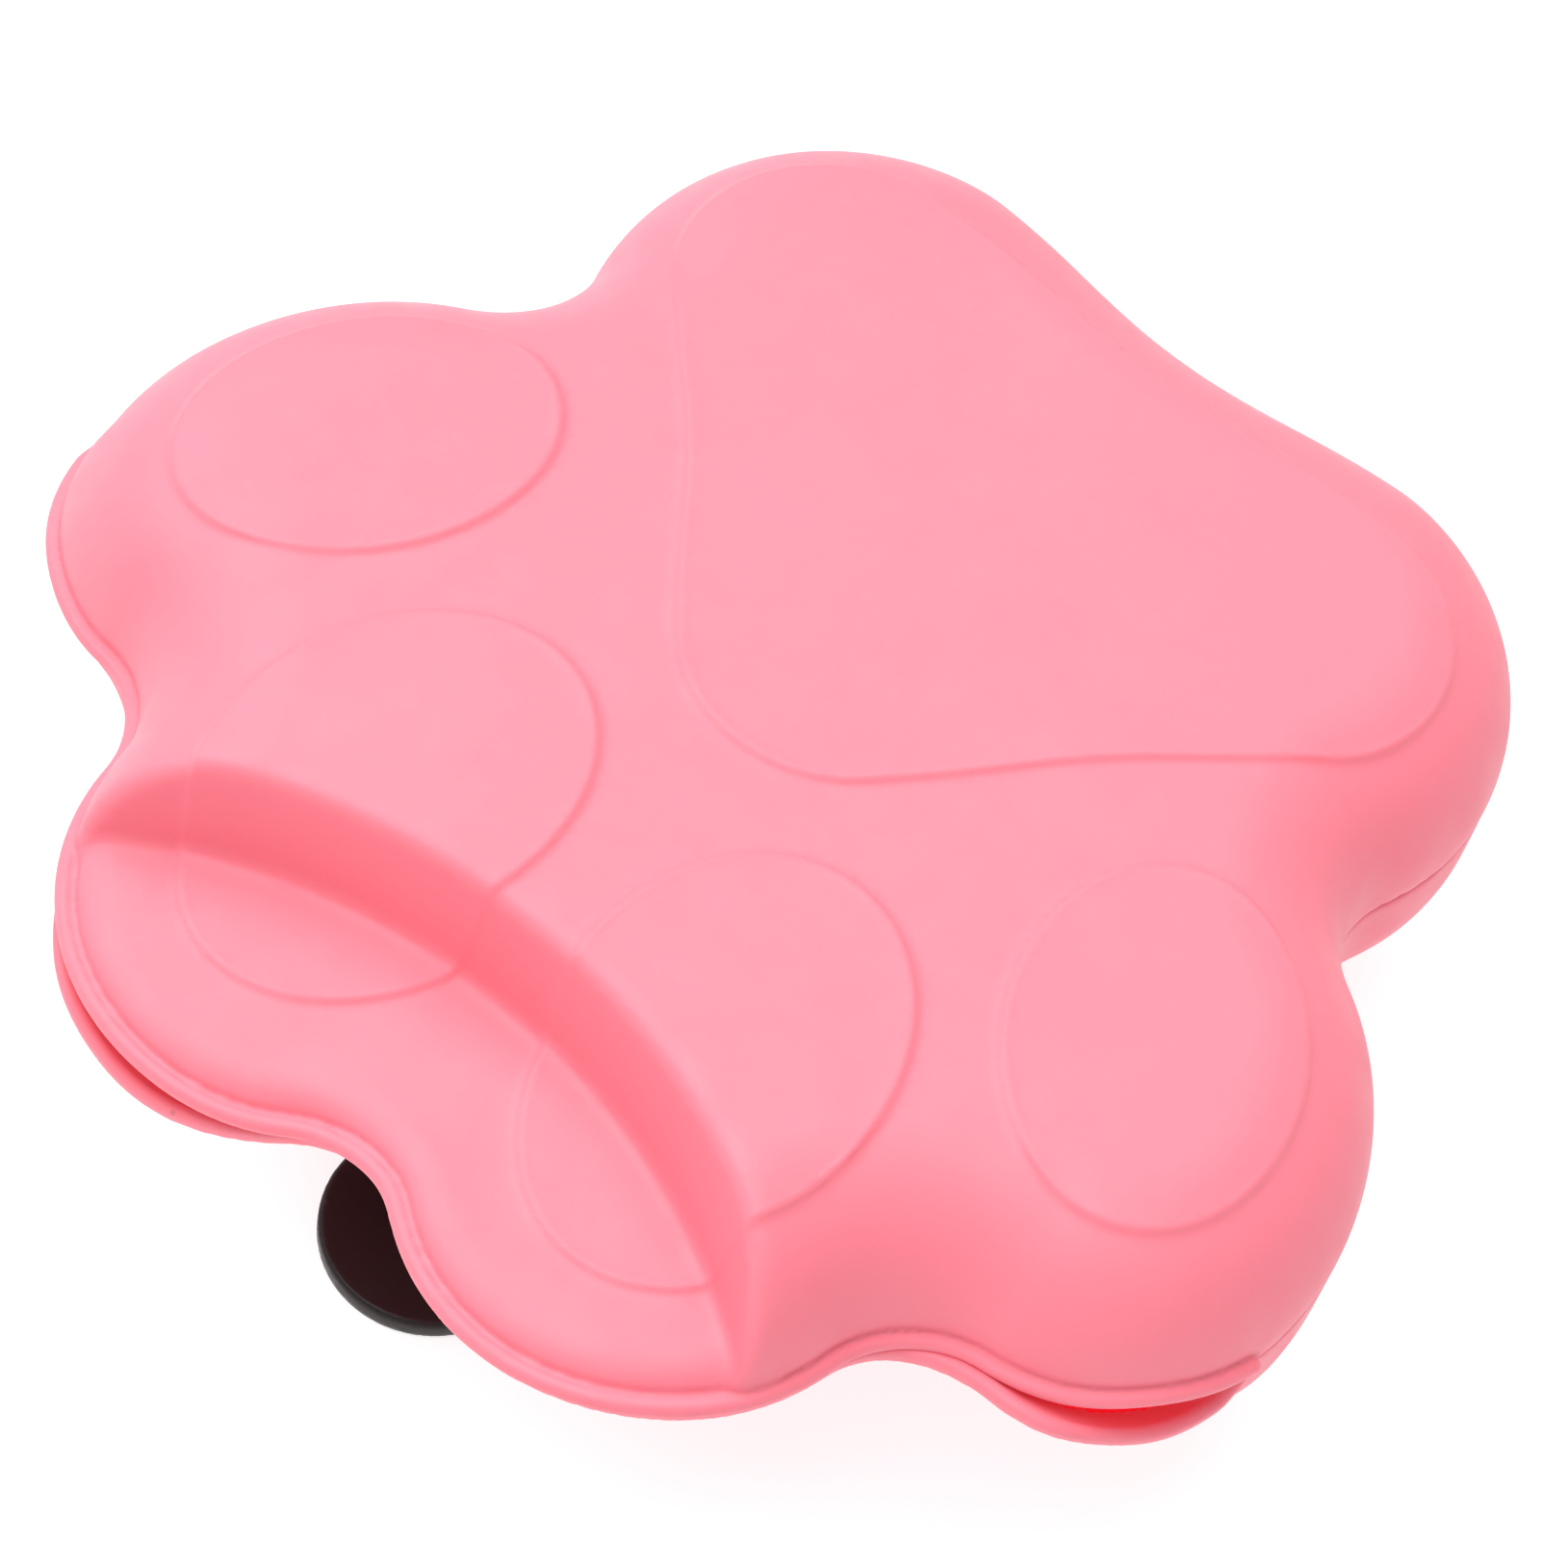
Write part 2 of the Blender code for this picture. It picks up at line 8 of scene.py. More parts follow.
import bmesh
import bpy
import numpy as np
from mathutils import Matrix, Vector
from mathutils.kdtree import KDTree

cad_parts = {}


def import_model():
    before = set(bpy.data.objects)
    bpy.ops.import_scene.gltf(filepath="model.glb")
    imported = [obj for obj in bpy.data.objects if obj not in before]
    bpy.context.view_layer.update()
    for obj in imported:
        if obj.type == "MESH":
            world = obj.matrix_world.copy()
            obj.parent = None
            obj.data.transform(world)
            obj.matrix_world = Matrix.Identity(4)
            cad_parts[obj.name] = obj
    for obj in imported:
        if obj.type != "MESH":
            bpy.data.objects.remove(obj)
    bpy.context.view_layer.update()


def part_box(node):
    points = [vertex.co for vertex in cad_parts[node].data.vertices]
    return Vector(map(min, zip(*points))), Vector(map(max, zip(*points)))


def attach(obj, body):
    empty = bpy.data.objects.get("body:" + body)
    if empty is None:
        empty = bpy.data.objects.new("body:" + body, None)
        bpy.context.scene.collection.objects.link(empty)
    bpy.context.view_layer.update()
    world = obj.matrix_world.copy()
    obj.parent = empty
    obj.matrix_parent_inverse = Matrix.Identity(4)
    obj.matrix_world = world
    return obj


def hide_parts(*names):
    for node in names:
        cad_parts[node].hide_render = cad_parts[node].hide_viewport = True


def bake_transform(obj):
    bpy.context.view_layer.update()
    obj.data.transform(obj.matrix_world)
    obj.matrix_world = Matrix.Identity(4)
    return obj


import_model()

MM = 0.001

# The pouch's driving sizes in millimetres, the same as in the CAD model
GAP = 0.3
TOE_SPAN = 42.0
INNER_TOE = (0.42 * TOE_SPAN, 0.713 * TOE_SPAN)
INNER_TOE_R = 0.49 * TOE_SPAN
OUTER_TOE_SEMI = (0.48 * TOE_SPAN, 0.60 * TOE_SPAN)
OUTER_TOE_TILT = math.radians(21.5)
HEEL_X = 0.51 * TOE_SPAN
HEEL_Y = -1.008 * TOE_SPAN
HEEL_R = 0.60 * TOE_SPAN
HEEL_DIP = 2.9
HEEL_DIP_WIDTH = 14.0
NOTCH_R = 0.25 * TOE_SPAN
RAY_CENTRE_Y = -0.2 * TOE_SPAN
BEAD_OUT = 1.1
WALL = 2.5
FRONT_ROUND = 13.0
BACK_SLOPE = math.radians(38.0)
UPRIGHT_Y = -8.0
LEANING_Y = 26.0
SIDE_X = 35.0
SIDE_DELAY = 0.7
RECESS_R = 1.33 * TOE_SPAN
RECESS_WALL_Y = 0.68 * TOE_SPAN
RECESS_DEPTH = 10.6
RECESS_DRAFT = 0.18
MOUTH_Y = 0.22 * TOE_SPAN
RAYS = 1440
RAY_HALVINGS = 26
SIDES = ("left", "middle", "right")
SCREW_SIDES = ("left", "right")
LEVELS = ("lower", "upper")
FAR = 99.0                       # so far off that a form has no effect

TOP_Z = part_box("front_shell")[1].z / MM
BACK_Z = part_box("back_shell")[0].z / MM
PART_Z = (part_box("front_shell")[0].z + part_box("back_shell")[1].z) / 2.0 / MM
FLOOR_Z = TOP_Z - RECESS_DEPTH

# Raised pads on the front face
PAD_HEIGHT = 0.45
PAD_EDGE = 0.55
PAD_RIM = 0.16                   # thin raised line along a pad's edge
PAD_RIM_WIDTH = 0.42
INNER_PAD = (0.414 * TOE_SPAN, 0.565 * TOE_SPAN)
INNER_PAD_SEMI = (0.322 * TOE_SPAN, 0.429 * TOE_SPAN)
INNER_PAD_TILT = math.radians(8.6)
OUTER_PAD_SEMI = (0.294 * TOE_SPAN, 0.402 * TOE_SPAN)
OUTER_PAD_TILT = math.radians(25.2)
PALM_TOP = (0.0, -0.27 * TOE_SPAN, 0.32 * TOE_SPAN)
PALM_LOW = (0.60 * TOE_SPAN, -1.0 * TOE_SPAN, 0.34 * TOE_SPAN)
PALM_DIP = 1.5                   # how far the big pad's lower edge is drawn in at the middle
PALM_DIP_WIDTH = 13.0
PALM_WAIST = (23.3, -17.9)       # where the big pad's flanks are drawn in
PALM_WAIST_DEPTH = 1.0
PALM_WAIST_WIDTH = 11.0

# Thumb recess
RECESS_EDGE_SOFT = 1.5           # rounding of the wall's upper edge
SHELF_ROUND = 3.6
SHELF_BEHIND = 3.0               # how far the shelf runs on behind the wall
FOOT_RIDGE = 0.45                # thin ridge along the wall's foot
FOOT_WIDTH = 0.60

# Lips: the halves nearly touch here, and the back one hangs open at two toes
LIP_Z = PART_Z + 0.06
BACK_LIP_Z = PART_Z - 0.06
LIP_SOFT = 0.5                   # rounding of the front lip's edges
BEAD_R = 0.85
BEAD_CENTRE = (0.22, LIP_Z + BEAD_R)
BEAD_SOFT = 0.3
GROOVE = 0.18                    # groove between the bead and the wall above it
GROOVE_WIDTH = 0.50
GROOVE_FADE = 0.5                # the groove is full this far above the bead's centre
BACK_LIP_SOFT = 0.8
BACK_LIP_FALL = 0.8              # slope of the back lip's upper face, down into the hollow
BACK_LIP_FLAT = 0.5              # its flat outer band
BACK_LIP_WIDTH = 3.5             # how far in the slope goes on
BACK_LIP_FADE = 6.0              # length over which the slope starts at the mouth's ends
RIM_INSET = 1.2                  # thicker band round the back lip: its middle,
RIM_HALF_W = 1.7                 # half its width,
RIM_DEPTH = 2.0                  # its depth,
RIM_RISE = 0.25                  # the slope of its lower side
RIM_SOFT = 1.0                   # and the rounding of its edges

# Back half
BACK_ROUND = 8.2                 # bend between the wall and the flat face, outside
BACK_ROUND_INSIDE = 5.5          # and inside

# Waves of the lips
BACK_WAVES = (                   # x, y, spread, lift and outward swing
    (18.0, 57.0, 11.0, -3.0, 0.6),
    (29.0, 54.0, 7.0, -0.8, 0.7),
    (-2.0, 53.0, 7.0, 0.4, -0.7),
    (43.0, 34.5, 4.0, -1.2, 0.2),
    (-27.0, 55.0, 14.0, 0.5, -0.5),
    (-50.0, 31.5, 8.0, 0.9, 2.9),
    (-44.0, 35.0, 8.0, 0.6, 0.3),
    (-60.0, 24.0, 8.0, -3.2, 0.6),
)
FRONT_WAVES = (
    (59.0, 25.0, 11.0, -0.1, 0.9),
    (49.0, 32.0, 6.0, -0.6, 0.2),
    (9.0, 57.0, 9.0, -0.7, 0.1),
    (-5.0, 54.0, 5.0, 0.6, -0.2),
    (-30.0, 53.0, 10.0, 0.5, -0.1),
    (-49.0, 33.0, 9.0, 0.4, 0.0),
    (-58.5, 26.0, 6.0, 1.1, 0.0),
)
WAVE_BAND = (12.0, 4.0)          # a wave fades out between these distances inside the outline
WAVE_START = 3.0                 # and over this length at the mouth's ends
WAVE_FOOT = 2.0                  # the back's waves fade out this far above its flat face
WAVE_TOP = (10.0, 9.0)           # the front's waves: height where they end, and their fading

# Magnet pockets and screw holes
POCKET_R = 5.25
POCKET_DEPTH = 2.5
BOSS_R = 9.0
BOSS_DEPTH = 3.6
BOSS_SOFT = 1.2
BOSS_FADE = 3.0                  # the back lip's slope fades over this length towards a boss
SCREW_HOLE_R = 3.25
SCREW_HOLE_HEIGHT = 5.0
SCREW_HOLE_SOFT = 0.4

# Painted shade and glow of the hollow: a deeper red with a faint glow stands in for light
# through the silicone
PAINTED_SHADE_ABOVE = 0.9               # the front's starts this far above its lip
FLANGE_DEPTH = 1.6               # the back's starts this far below its lip,
FLANGE_WIDTH = 3.2               # or this far inside the outline

# Belt clip
PLATE_T = 2.2
TAB_HALF_W = 9.7                 # the lever narrows to its thumb tab
TAB_TAPER = (7.0, 17.0)          # from the pivot, where the narrowing starts and ends
JAW_R = 10.0
JAW_CORNER_R = 9.0
JAW_CORNER_BELOW = 5.0           # the jaw's corners are partly cut by its curl
BASE_CORNERS = (5.0, 9.0)        # at the jaw's end, and at the pivot's end
EAR_R = 4.4
EAR_T = 2.1
EAR_SPREAD = 0.26                # how fast a lug widens towards its plate
EAR_LENGTH = 6.2
EAR_SOFT = 0.6
EAR_BLEND = 0.8                  # fillet between a lug and its plate
PIVOT_BORE_R = 1.8
BORE_SOFT = 0.3
POST_R = 3.0
POST_SOFT = 0.4
POST_SEAT = 1.0                  # how deep a post runs into the plate
SCREW_BORE_R = 1.3
SCREW_BORE_BELOW = 1.3           # how far a screw's hole goes into the plate
EDGE_SOFT = 0.5
GRIP_START = 13.0                # grip grooves on the thumb tab, measured from the pivot
GRIP_PITCH = 1.6
GRIP_COUNT = 5
GRIP_DEPTH = 0.4
GRIP_LAND = 0.4                  # how far the wave has to rise before it cuts
BASE_HIGH_PLATE = BACK_Z - GAP   # upper face of the base's plate
INNER_EAR_X = 9.35
WIRE_R = 0.45
COIL_R = 3.2
COIL_TURNS = 5
COIL_HALF = 4.6
SPRING_LEG = 12.0
TURN_STEPS = 40                  # points along one turn
LEG_STEPS = 12

# Turned pieces
DISC_R = 5.0
MAGNET_SOFT = 0.25
COVER_SOFT = 0.2
PIN_R = 1.5
PIN_HEAD_R = 2.4
PIN_HEAD_T = 0.8
PIN_SOFT = 0.3
SCREW_R = 1.0
SCREW_ROOT_R = 0.86
SCREW_PITCH = 0.6
SCREW_HEAD_R = 2.1
SCREW_HEAD_T = 1.3
SLOT_HALF_W = 0.32
SLOT_REACH = 0.9                 # how far down the head's points are pressed from
SLOT_DEPTH = 0.75

# Mesh spacing
SKIN_STEP = 0.70
CLIP_STEP = 0.42
SKIN_REACH = (66.0, 62.0)
SKIN_MARGIN = 1.5
CLIP_MARGIN = 1.2
NEAR_PAD = 1.1                   # the front's mesh is finer this near to a pad's rim,
NEAR_PAD_Z = 0.6                 # from just under the recess's floor upwards,
NEAR_BEAD = (2.0, 3.2)           # the bead, sideways and upwards,
NEAR_FOOT = (1.4, 1.2)           # and the recess's foot, sideways and in height
NEAR_BACK_LIP = 1.2


# ---------------------------------------------------------------- paw outline
def ellipse_distance(x, y, semi, tilt):
    """Signed distance, to first order, to an ellipse whose long axis leans by tilt from +Y."""
    along = x * math.sin(tilt) + y * math.cos(tilt)
    across = x * math.cos(tilt) - y * math.sin(tilt)
    scaled = np.hypot(across / semi[0], along / semi[1])
    slope = np.hypot(across / semi[0] ** 2, along / semi[1] ** 2)
    return scaled * (scaled - 1.0) / np.maximum(slope, 1e-9)


def lobes_distance(x, y):
    """Signed distance to the bare union of the lobes, with the toes' centre line at y = 0."""
    x = np.abs(x)
    inner = np.hypot(x - INNER_TOE[0], y - INNER_TOE[1]) - INNER_TOE_R
    outer = ellipse_distance(x - TOE_SPAN, y, OUTER_TOE_SEMI, OUTER_TOE_TILT)
    dip = HEEL_DIP * np.exp(-(x / HEEL_DIP_WIDTH) ** 2)
    heel = np.hypot(np.maximum(x - HEEL_X, 0.0), y - HEEL_Y) - HEEL_R + dip
    return np.minimum(np.minimum(inner, outer), heel)


def edge_distance(x, y, edge):
    """Distance from points to the closed polyline edge."""
    tree = KDTree(len(edge))
    for i, point in enumerate(edge):
        tree.insert((point[0], point[1], 0.0), i)
    tree.balance()
    near = np.array([tree.find((px, py, 0.0))[1] for px, py in zip(x, y)])
    best = np.full(len(x), np.inf)
    for shift in (0, -1):
        start = edge[(near + shift) % len(edge)]
        step = edge[(near + shift + 1) % len(edge)] - start
        offset = np.stack([x, y], axis=1) - start
        along = np.clip((offset * step).sum(axis=1) / (step ** 2).sum(axis=1), 0.0, 1.0)
        best = np.minimum(best, np.hypot(*(offset - along[:, None] * step).T))
    return best


def ray_edge(value, low, high):
    """The star-shaped outline on which value(x, y) turns positive, and its radii."""
    angles = math.pi / 2.0 + np.arange(RAYS) * 2.0 * math.pi / RAYS
    low = np.full(RAYS, low)
    high = np.full(RAYS, high)
    for _ in range(RAY_HALVINGS):
        middle = (low + high) / 2.0
        outside = value(middle * np.cos(angles), RAY_CENTRE_Y + middle * np.sin(angles)) > 0.0
        low = np.where(outside, low, middle)
        high = np.where(outside, middle, high)
    return np.stack([low * np.cos(angles), RAY_CENTRE_Y + low * np.sin(angles)], axis=1), low


def paw_edge():
    """The lobes, closed over their notches by a circle of radius NOTCH_R."""
    swollen, _ = ray_edge(lambda x, y: lobes_distance(x, y) - NOTCH_R, low=20.0, high=110.0)
    return ray_edge(lambda x, y: NOTCH_R - edge_distance(x, y, swollen), low=20.0, high=100.0)


EDGE, REACH = paw_edge()
CENTRE_Y = (EDGE[:, 1].min() + EDGE[:, 1].max() + BEAD_OUT) / 2.0
RECESS_CENTRE_Y = RECESS_WALL_Y + RECESS_R - CENTRE_Y
MOUTH_LINE_Y = MOUTH_Y - CENTRE_Y


def paw_sampler(half_x=74.0, half_y=70.0, step=0.4):
    """A function (x, y) -> signed distance to the paw's outline, in the part's frame."""
    xs = np.arange(-half_x, half_x + step, step)
    ys = np.arange(-half_y, half_y + step, step)
    grid_x, grid_y = [a.ravel() for a in np.meshgrid(xs, ys, indexing="ij")]
    gap = edge_distance(grid_x, grid_y + CENTRE_Y, EDGE)
    turn = np.arctan2(grid_y + CENTRE_Y - RAY_CENTRE_Y, grid_x) - math.pi / 2.0
    share = np.mod(turn / (2.0 * math.pi), 1.0) * RAYS
    reach = np.interp(share, np.arange(RAYS + 1), np.append(REACH, REACH[0]))
    inside = np.hypot(grid_x, grid_y + CENTRE_Y - RAY_CENTRE_Y) < reach
    grid = np.where(inside, -gap, gap).reshape(len(xs), len(ys))

    def sample(x, y):
        u = np.clip((x + half_x) / step, 0.0, len(xs) - 1.001)
        v = np.clip((y + half_y) / step, 0.0, len(ys) - 1.001)
        i, j = u.astype(int), v.astype(int)
        u, v = u - i, v - j
        low = grid[i, j] * (1.0 - u) + grid[i + 1, j] * u
        high = grid[i, j + 1] * (1.0 - u) + grid[i + 1, j + 1] * u
        return low * (1.0 - v) + high * v

    return sample


PAW = paw_sampler()


# ---------------------------------------------------------------- field tools
def smooth_min(a, b, width):
    blend = np.maximum(width - np.abs(a - b), 0.0) / width
    return np.minimum(a, b) - blend * blend * width / 4.0


def smooth_max(a, b, width):
    return -smooth_min(-a, -b, width)


def smooth_step(value):
    value = np.clip(value, 0.0, 1.0)
    return value * value * (3.0 - 2.0 * value)


def rounded_corner(u, v, radius):
    """Signed distance to the corner between u = radius and v = radius, rounded by radius."""
    outside = np.hypot(np.maximum(u, 0.0), np.maximum(v, 0.0))
    return outside + np.minimum(np.maximum(u, v), 0.0) - radius


def rounded_slab(inset, z, top, radius):
    """The space under z = top and inside the outline, its upper edge rounded."""
    return rounded_corner(inset + radius, z - (top - radius), radius)


def round_cone(x, y, first, second):
    """Signed distance to the hull of two circles (x, y, radius)."""
    length = math.hypot(second[0] - first[0], second[1] - first[1])
    ux, uy = (second[0] - first[0]) / length, (second[1] - first[1]) / length
    along = (x - first[0]) * ux + (y - first[1]) * uy
    across = np.abs((y - first[1]) * ux - (x - first[0]) * uy)
    lean = (first[2] - second[2]) / length
    side = math.sqrt(1.0 - lean * lean)
    share = along * side - across * lean
    low = np.hypot(across, along) - first[2]
    high = np.hypot(across, along - length) - second[2]
    flank = across * side + along * lean - first[2]
    return np.where(share < 0.0, low, np.where(share > side * length, high, flank))


def surface_net(field, plan_of, low, high, step):
    """Points and quads on the zero surface of field(plan, z), where plan = plan_of(x, y)."""
    axes = [np.arange(low[i], high[i] + step, step) for i in range(3)]
    shape = [len(axis) for axis in axes]
    plan = plan_of(*[a.ravel() for a in np.meshgrid(axes[0], axes[1], indexing="ij")])
    values = np.empty(shape, np.float32)
    for k, z in enumerate(axes[2]):
        values[:, :, k] = field(plan, z).reshape(shape[:2])
    inside = values < 0.0
    corners = [(i, j, k) for i in (0, 1) for j in (0, 1) for k in (0, 1)]

    def shifted(array, corner):
        return array[tuple(slice(c, n - 1 + c) for c, n in zip(corner, shape))]

    count = sum(shifted(inside, c).astype(np.int8) for c in corners)
    cells = np.argwhere((count > 0) & (count < 8))
    numbers = np.full([n - 1 for n in shape], -1, np.int64)
    numbers[tuple(cells.T)] = np.arange(len(cells))
    total = np.zeros((len(cells), 3))
    hits = np.zeros(len(cells))
    for a in corners:
        for axis in range(3):
            if a[axis] == 1:
                continue
            b = tuple(1 if i == axis else c for i, c in enumerate(a))
            value_a = values[tuple((cells + a).T)]
            value_b = values[tuple((cells + b).T)]
            crossed = (value_a < 0.0) != (value_b < 0.0)
            share = np.where(crossed, value_a / np.where(crossed, value_a - value_b, 1.0), 0.0)
            point = np.array(a) + share[:, None] * (np.array(b) - np.array(a))
            total += np.where(crossed[:, None], point, 0.0)
            hits += crossed
    points = (cells + total / hits[:, None]) * step + np.array(low)
    quads = []
    for axis in range(3):
        start = tuple(slice(0, -1) if i == axis else slice(1, -1) for i in range(3))
        end = tuple(slice(1, None) if i == axis else slice(1, -1) for i in range(3))
        first, second = inside[start], inside[end]
        edges = np.argwhere(first != second)
        leaving = first[tuple(edges.T)]
        edges = edges + [0 if i == axis else 1 for i in range(3)]
        side, up = [i for i in range(3) if i != axis]
        ring = []
        for du, dv in ((0, 0), (-1, 0), (-1, -1), (0, -1)):
            cell = edges.copy()
            cell[:, side] += du
            cell[:, up] += dv
            ring.append(numbers[tuple(cell.T)])
        ring = np.stack(ring, axis=1)
        flip = leaving if axis == 1 else ~leaving
        ring[flip] = ring[flip][:, ::-1]
        quads.append(ring)
    return settle(field, plan_of, points, step), np.concatenate(quads)


def settle(field, plan_of, points, step, rounds=4):
    """Moves points onto the zero surface along the field's slope."""
    nudge = 0.04
    for _ in range(rounds):
        x, y, z = points.T
        plan = plan_of(x, y)
        here = field(plan, z)
        slope = np.stack([
            field(plan_of(x + nudge, y), z) - field(plan_of(x - nudge, y), z),
            field(plan_of(x, y + nudge), z) - field(plan_of(x, y - nudge), z),
            field(plan, z + nudge) - field(plan, z - nudge),
        ], axis=1) / (2.0 * nudge)
        steep = np.maximum((slope ** 2).sum(axis=1), 0.05)
        move = slope * (here / steep)[:, None]
        size = np.linalg.norm(move, axis=1)
        points = points - move * np.minimum(1.0, 0.6 * step / np.maximum(size, 1e-9))[:, None]
    return points


def mesh_object(name, points, faces, look):
    """A smooth shaded object from points in millimetres."""
    mesh = bpy.data.meshes.new(name)
    mesh.from_pydata((points * MM).tolist(), [], [tuple(face) for face in faces])
    mesh.validate()
    mesh.shade_smooth()
    mesh.materials.append(look)
    made = bpy.data.objects.new(name, mesh)
    bpy.context.scene.collection.objects.link(made)
    return made


def stand_for(made, node):
    """Puts a piece, built in its CAD node's place, on the node's body and hides the node."""
    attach(made, BODY_OF[node])
    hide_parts(node)


# ---------------------------------------------------------------- silicone skins
def centre_of(node):
    """Centre of a CAD node's box, in millimetres."""
    low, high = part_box(node)
    return [(low[i] + high[i]) / 2.0 / MM for i in range(3)]


MAGNETS = [centre_of(f"front_magnet_{side}")[:2] for side in SIDES]
SCREWS = [
    centre_of(f"clip_screw_{level}_{side}")[:2]
    for level in LEVELS
    for side in SCREW_SIDES
]


def pads_distance(x, y):
    """Signed distance to the raised pads, in the part's frame."""
    across = np.abs(x)
    y = y + CENTRE_Y
    pad_x, pad_y = INNER_PAD
    inner = ellipse_distance(across - pad_x, y - pad_y, INNER_PAD_SEMI, INNER_PAD_TILT)
    outer = ellipse_distance(across - TOE_SPAN, y, OUTER_PAD_SEMI, OUTER_PAD_TILT)
    mirrored = (-PALM_LOW[0], PALM_LOW[1], PALM_LOW[2])
    flank = round_cone(across, y, PALM_TOP, PALM_LOW)
    foot = round_cone(across, y, mirrored, PALM_LOW)
    palm = np.minimum(flank, foot)
    palm = palm + PALM_DIP * np.exp(-(x / PALM_DIP_WIDTH) ** 2) * (y < PALM_LOW[1])
    waist = np.hypot(across - PALM_WAIST[0], y - PALM_WAIST[1])
    palm = palm + PALM_WAIST_DEPTH * np.exp(-(waist / PALM_WAIST_WIDTH) ** 2)
    return np.minimum(np.minimum(inner, outer), palm)


def nearest(x, y, spots):
    """Distance in plan to the nearest of a few spots."""
    return np.min([np.hypot(x - sx, y - sy) for sx, sy in spots], axis=0)


def plan_of(x, y):
    """What the silicone's fields need to know about points of the plan view."""
    delay = SIDE_DELAY * np.maximum(np.abs(x) - SIDE_X, 0.0)
    pads = pads_distance(x, y)
    raised = PAD_HEIGHT * smooth_step(0.5 - pads / PAD_EDGE)
    rim = PAD_RIM * np.exp(-(pads / PAD_RIM_WIDTH) ** 2)
    lean = BACK_SLOPE * smooth_step((y - delay - UPRIGHT_Y) / (LEANING_Y - UPRIGHT_Y))
    return {
        "x": x,
        "y": y,
        "inset": PAW(x, y),
        "recess": RECESS_R - np.hypot(x, y - RECESS_CENTRE_Y),
        "pad": raised + rim,
        "boss": nearest(x, y, MAGNETS),
        "screw": nearest(x, y, SCREWS),
        "lean": (np.tan(lean), np.cos(lean)),
        "mouth": MOUTH_LINE_Y - y,
    }


def front_outside(plan, z):
    """The front's outer form: a domed slab cut back by the recess, and the lower shelf."""
    dome = rounded_slab(plan["inset"], z, TOP_Z, FRONT_ROUND)
    wall = plan["recess"] + RECESS_DRAFT * (z - FLOOR_Z)
    dome = smooth_max(dome, wall, RECESS_EDGE_SOFT)
    shelf = rounded_slab(plan["inset"], z, FLOOR_Z, SHELF_ROUND)
    shelf = np.maximum(shelf, -plan["recess"] - SHELF_BEHIND)
    ridge = FOOT_RIDGE * np.exp(-(dome ** 2 + shelf ** 2) / FOOT_WIDTH ** 2)
    return np.minimum(dome, shelf) - ridge


def front_field(plan, z):
    """The front half: wall, bosses, lip with its bead and groove, and magnet pockets."""
    skin = front_outside(plan, z - plan["pad"])
    hollow = front_outside(plan, z) + WALL
    boss = np.maximum(plan["boss"] - BOSS_R, z - LIP_Z - BOSS_DEPTH)
    skin = smooth_max(skin, -smooth_max(hollow, -boss, BOSS_SOFT), LIP_SOFT)
    skin = smooth_max(skin, LIP_Z - z, LIP_SOFT)
    bead = np.hypot(plan["inset"] - BEAD_CENTRE[0], z - BEAD_CENTRE[1])
    bead = np.hypot(bead, np.maximum(plan["mouth"] + BEAD_R, 0.0)) - BEAD_R
    groove = GROOVE * np.exp(-(skin ** 2 + bead ** 2) / GROOVE_WIDTH ** 2)
    groove = groove * smooth_step((z - BEAD_CENTRE[1]) / GROOVE_FADE)
    skin = smooth_min(skin, bead, BEAD_SOFT) + groove
    pocket = np.maximum(plan["boss"] - POCKET_R, z - LIP_Z - POCKET_DEPTH)
    return np.maximum(skin, -pocket)


def back_outside(plan, z, depth, bend):
    """The back's wall, upright at the heel and leaning at the toes, and its flat face."""
    tangent, cosine = plan["lean"]
    wall = (plan["inset"] + (PART_Z - z) * tangent) * cosine + depth
    return smooth_max(wall, BACK_Z + depth - z, bend)


def back_field(plan, z):
    """The back half: wall, bosses, thicker sloping lip, magnet pockets and screw holes."""
    skin = back_outside(plan, z, 0.0, BACK_ROUND)
    hollow = back_outside(plan, z, WALL, BACK_ROUND_INSIDE)
    boss = np.maximum(plan["boss"] - BOSS_R, BACK_LIP_Z - BOSS_DEPTH - z)
    skin = smooth_max(skin, -smooth_max(hollow, -boss, BOSS_SOFT), LIP_SOFT)
    band = plan["inset"] + RIM_INSET
    under = BACK_LIP_Z - RIM_DEPTH - RIM_RISE * (RIM_HALF_W - band) - z
    rim = smooth_max(np.abs(band) - RIM_HALF_W, under, RIM_SOFT)
    skin = smooth_min(skin, smooth_max(rim, plan["mouth"], RIM_SOFT), RIM_SOFT)
    fall = np.clip(-plan["inset"] - BACK_LIP_FLAT, 0.0, BACK_LIP_WIDTH) * BACK_LIP_FALL
    fall = fall * smooth_step(-plan["mouth"] / BACK_LIP_FADE)
    fall = fall * smooth_step((plan["boss"] - BOSS_R) / BOSS_FADE)
    skin = smooth_max(skin, z - BACK_LIP_Z + fall, BACK_LIP_SOFT)
    pocket = np.maximum(plan["boss"] - POCKET_R, BACK_LIP_Z - POCKET_DEPTH - z)
    skin = np.maximum(skin, -pocket)
    hole = np.where(z < BACK_Z + SCREW_HOLE_HEIGHT, SCREW_HOLE_R - plan["screw"], -FAR)
    return smooth_max(skin, hole, SCREW_HOLE_SOFT)


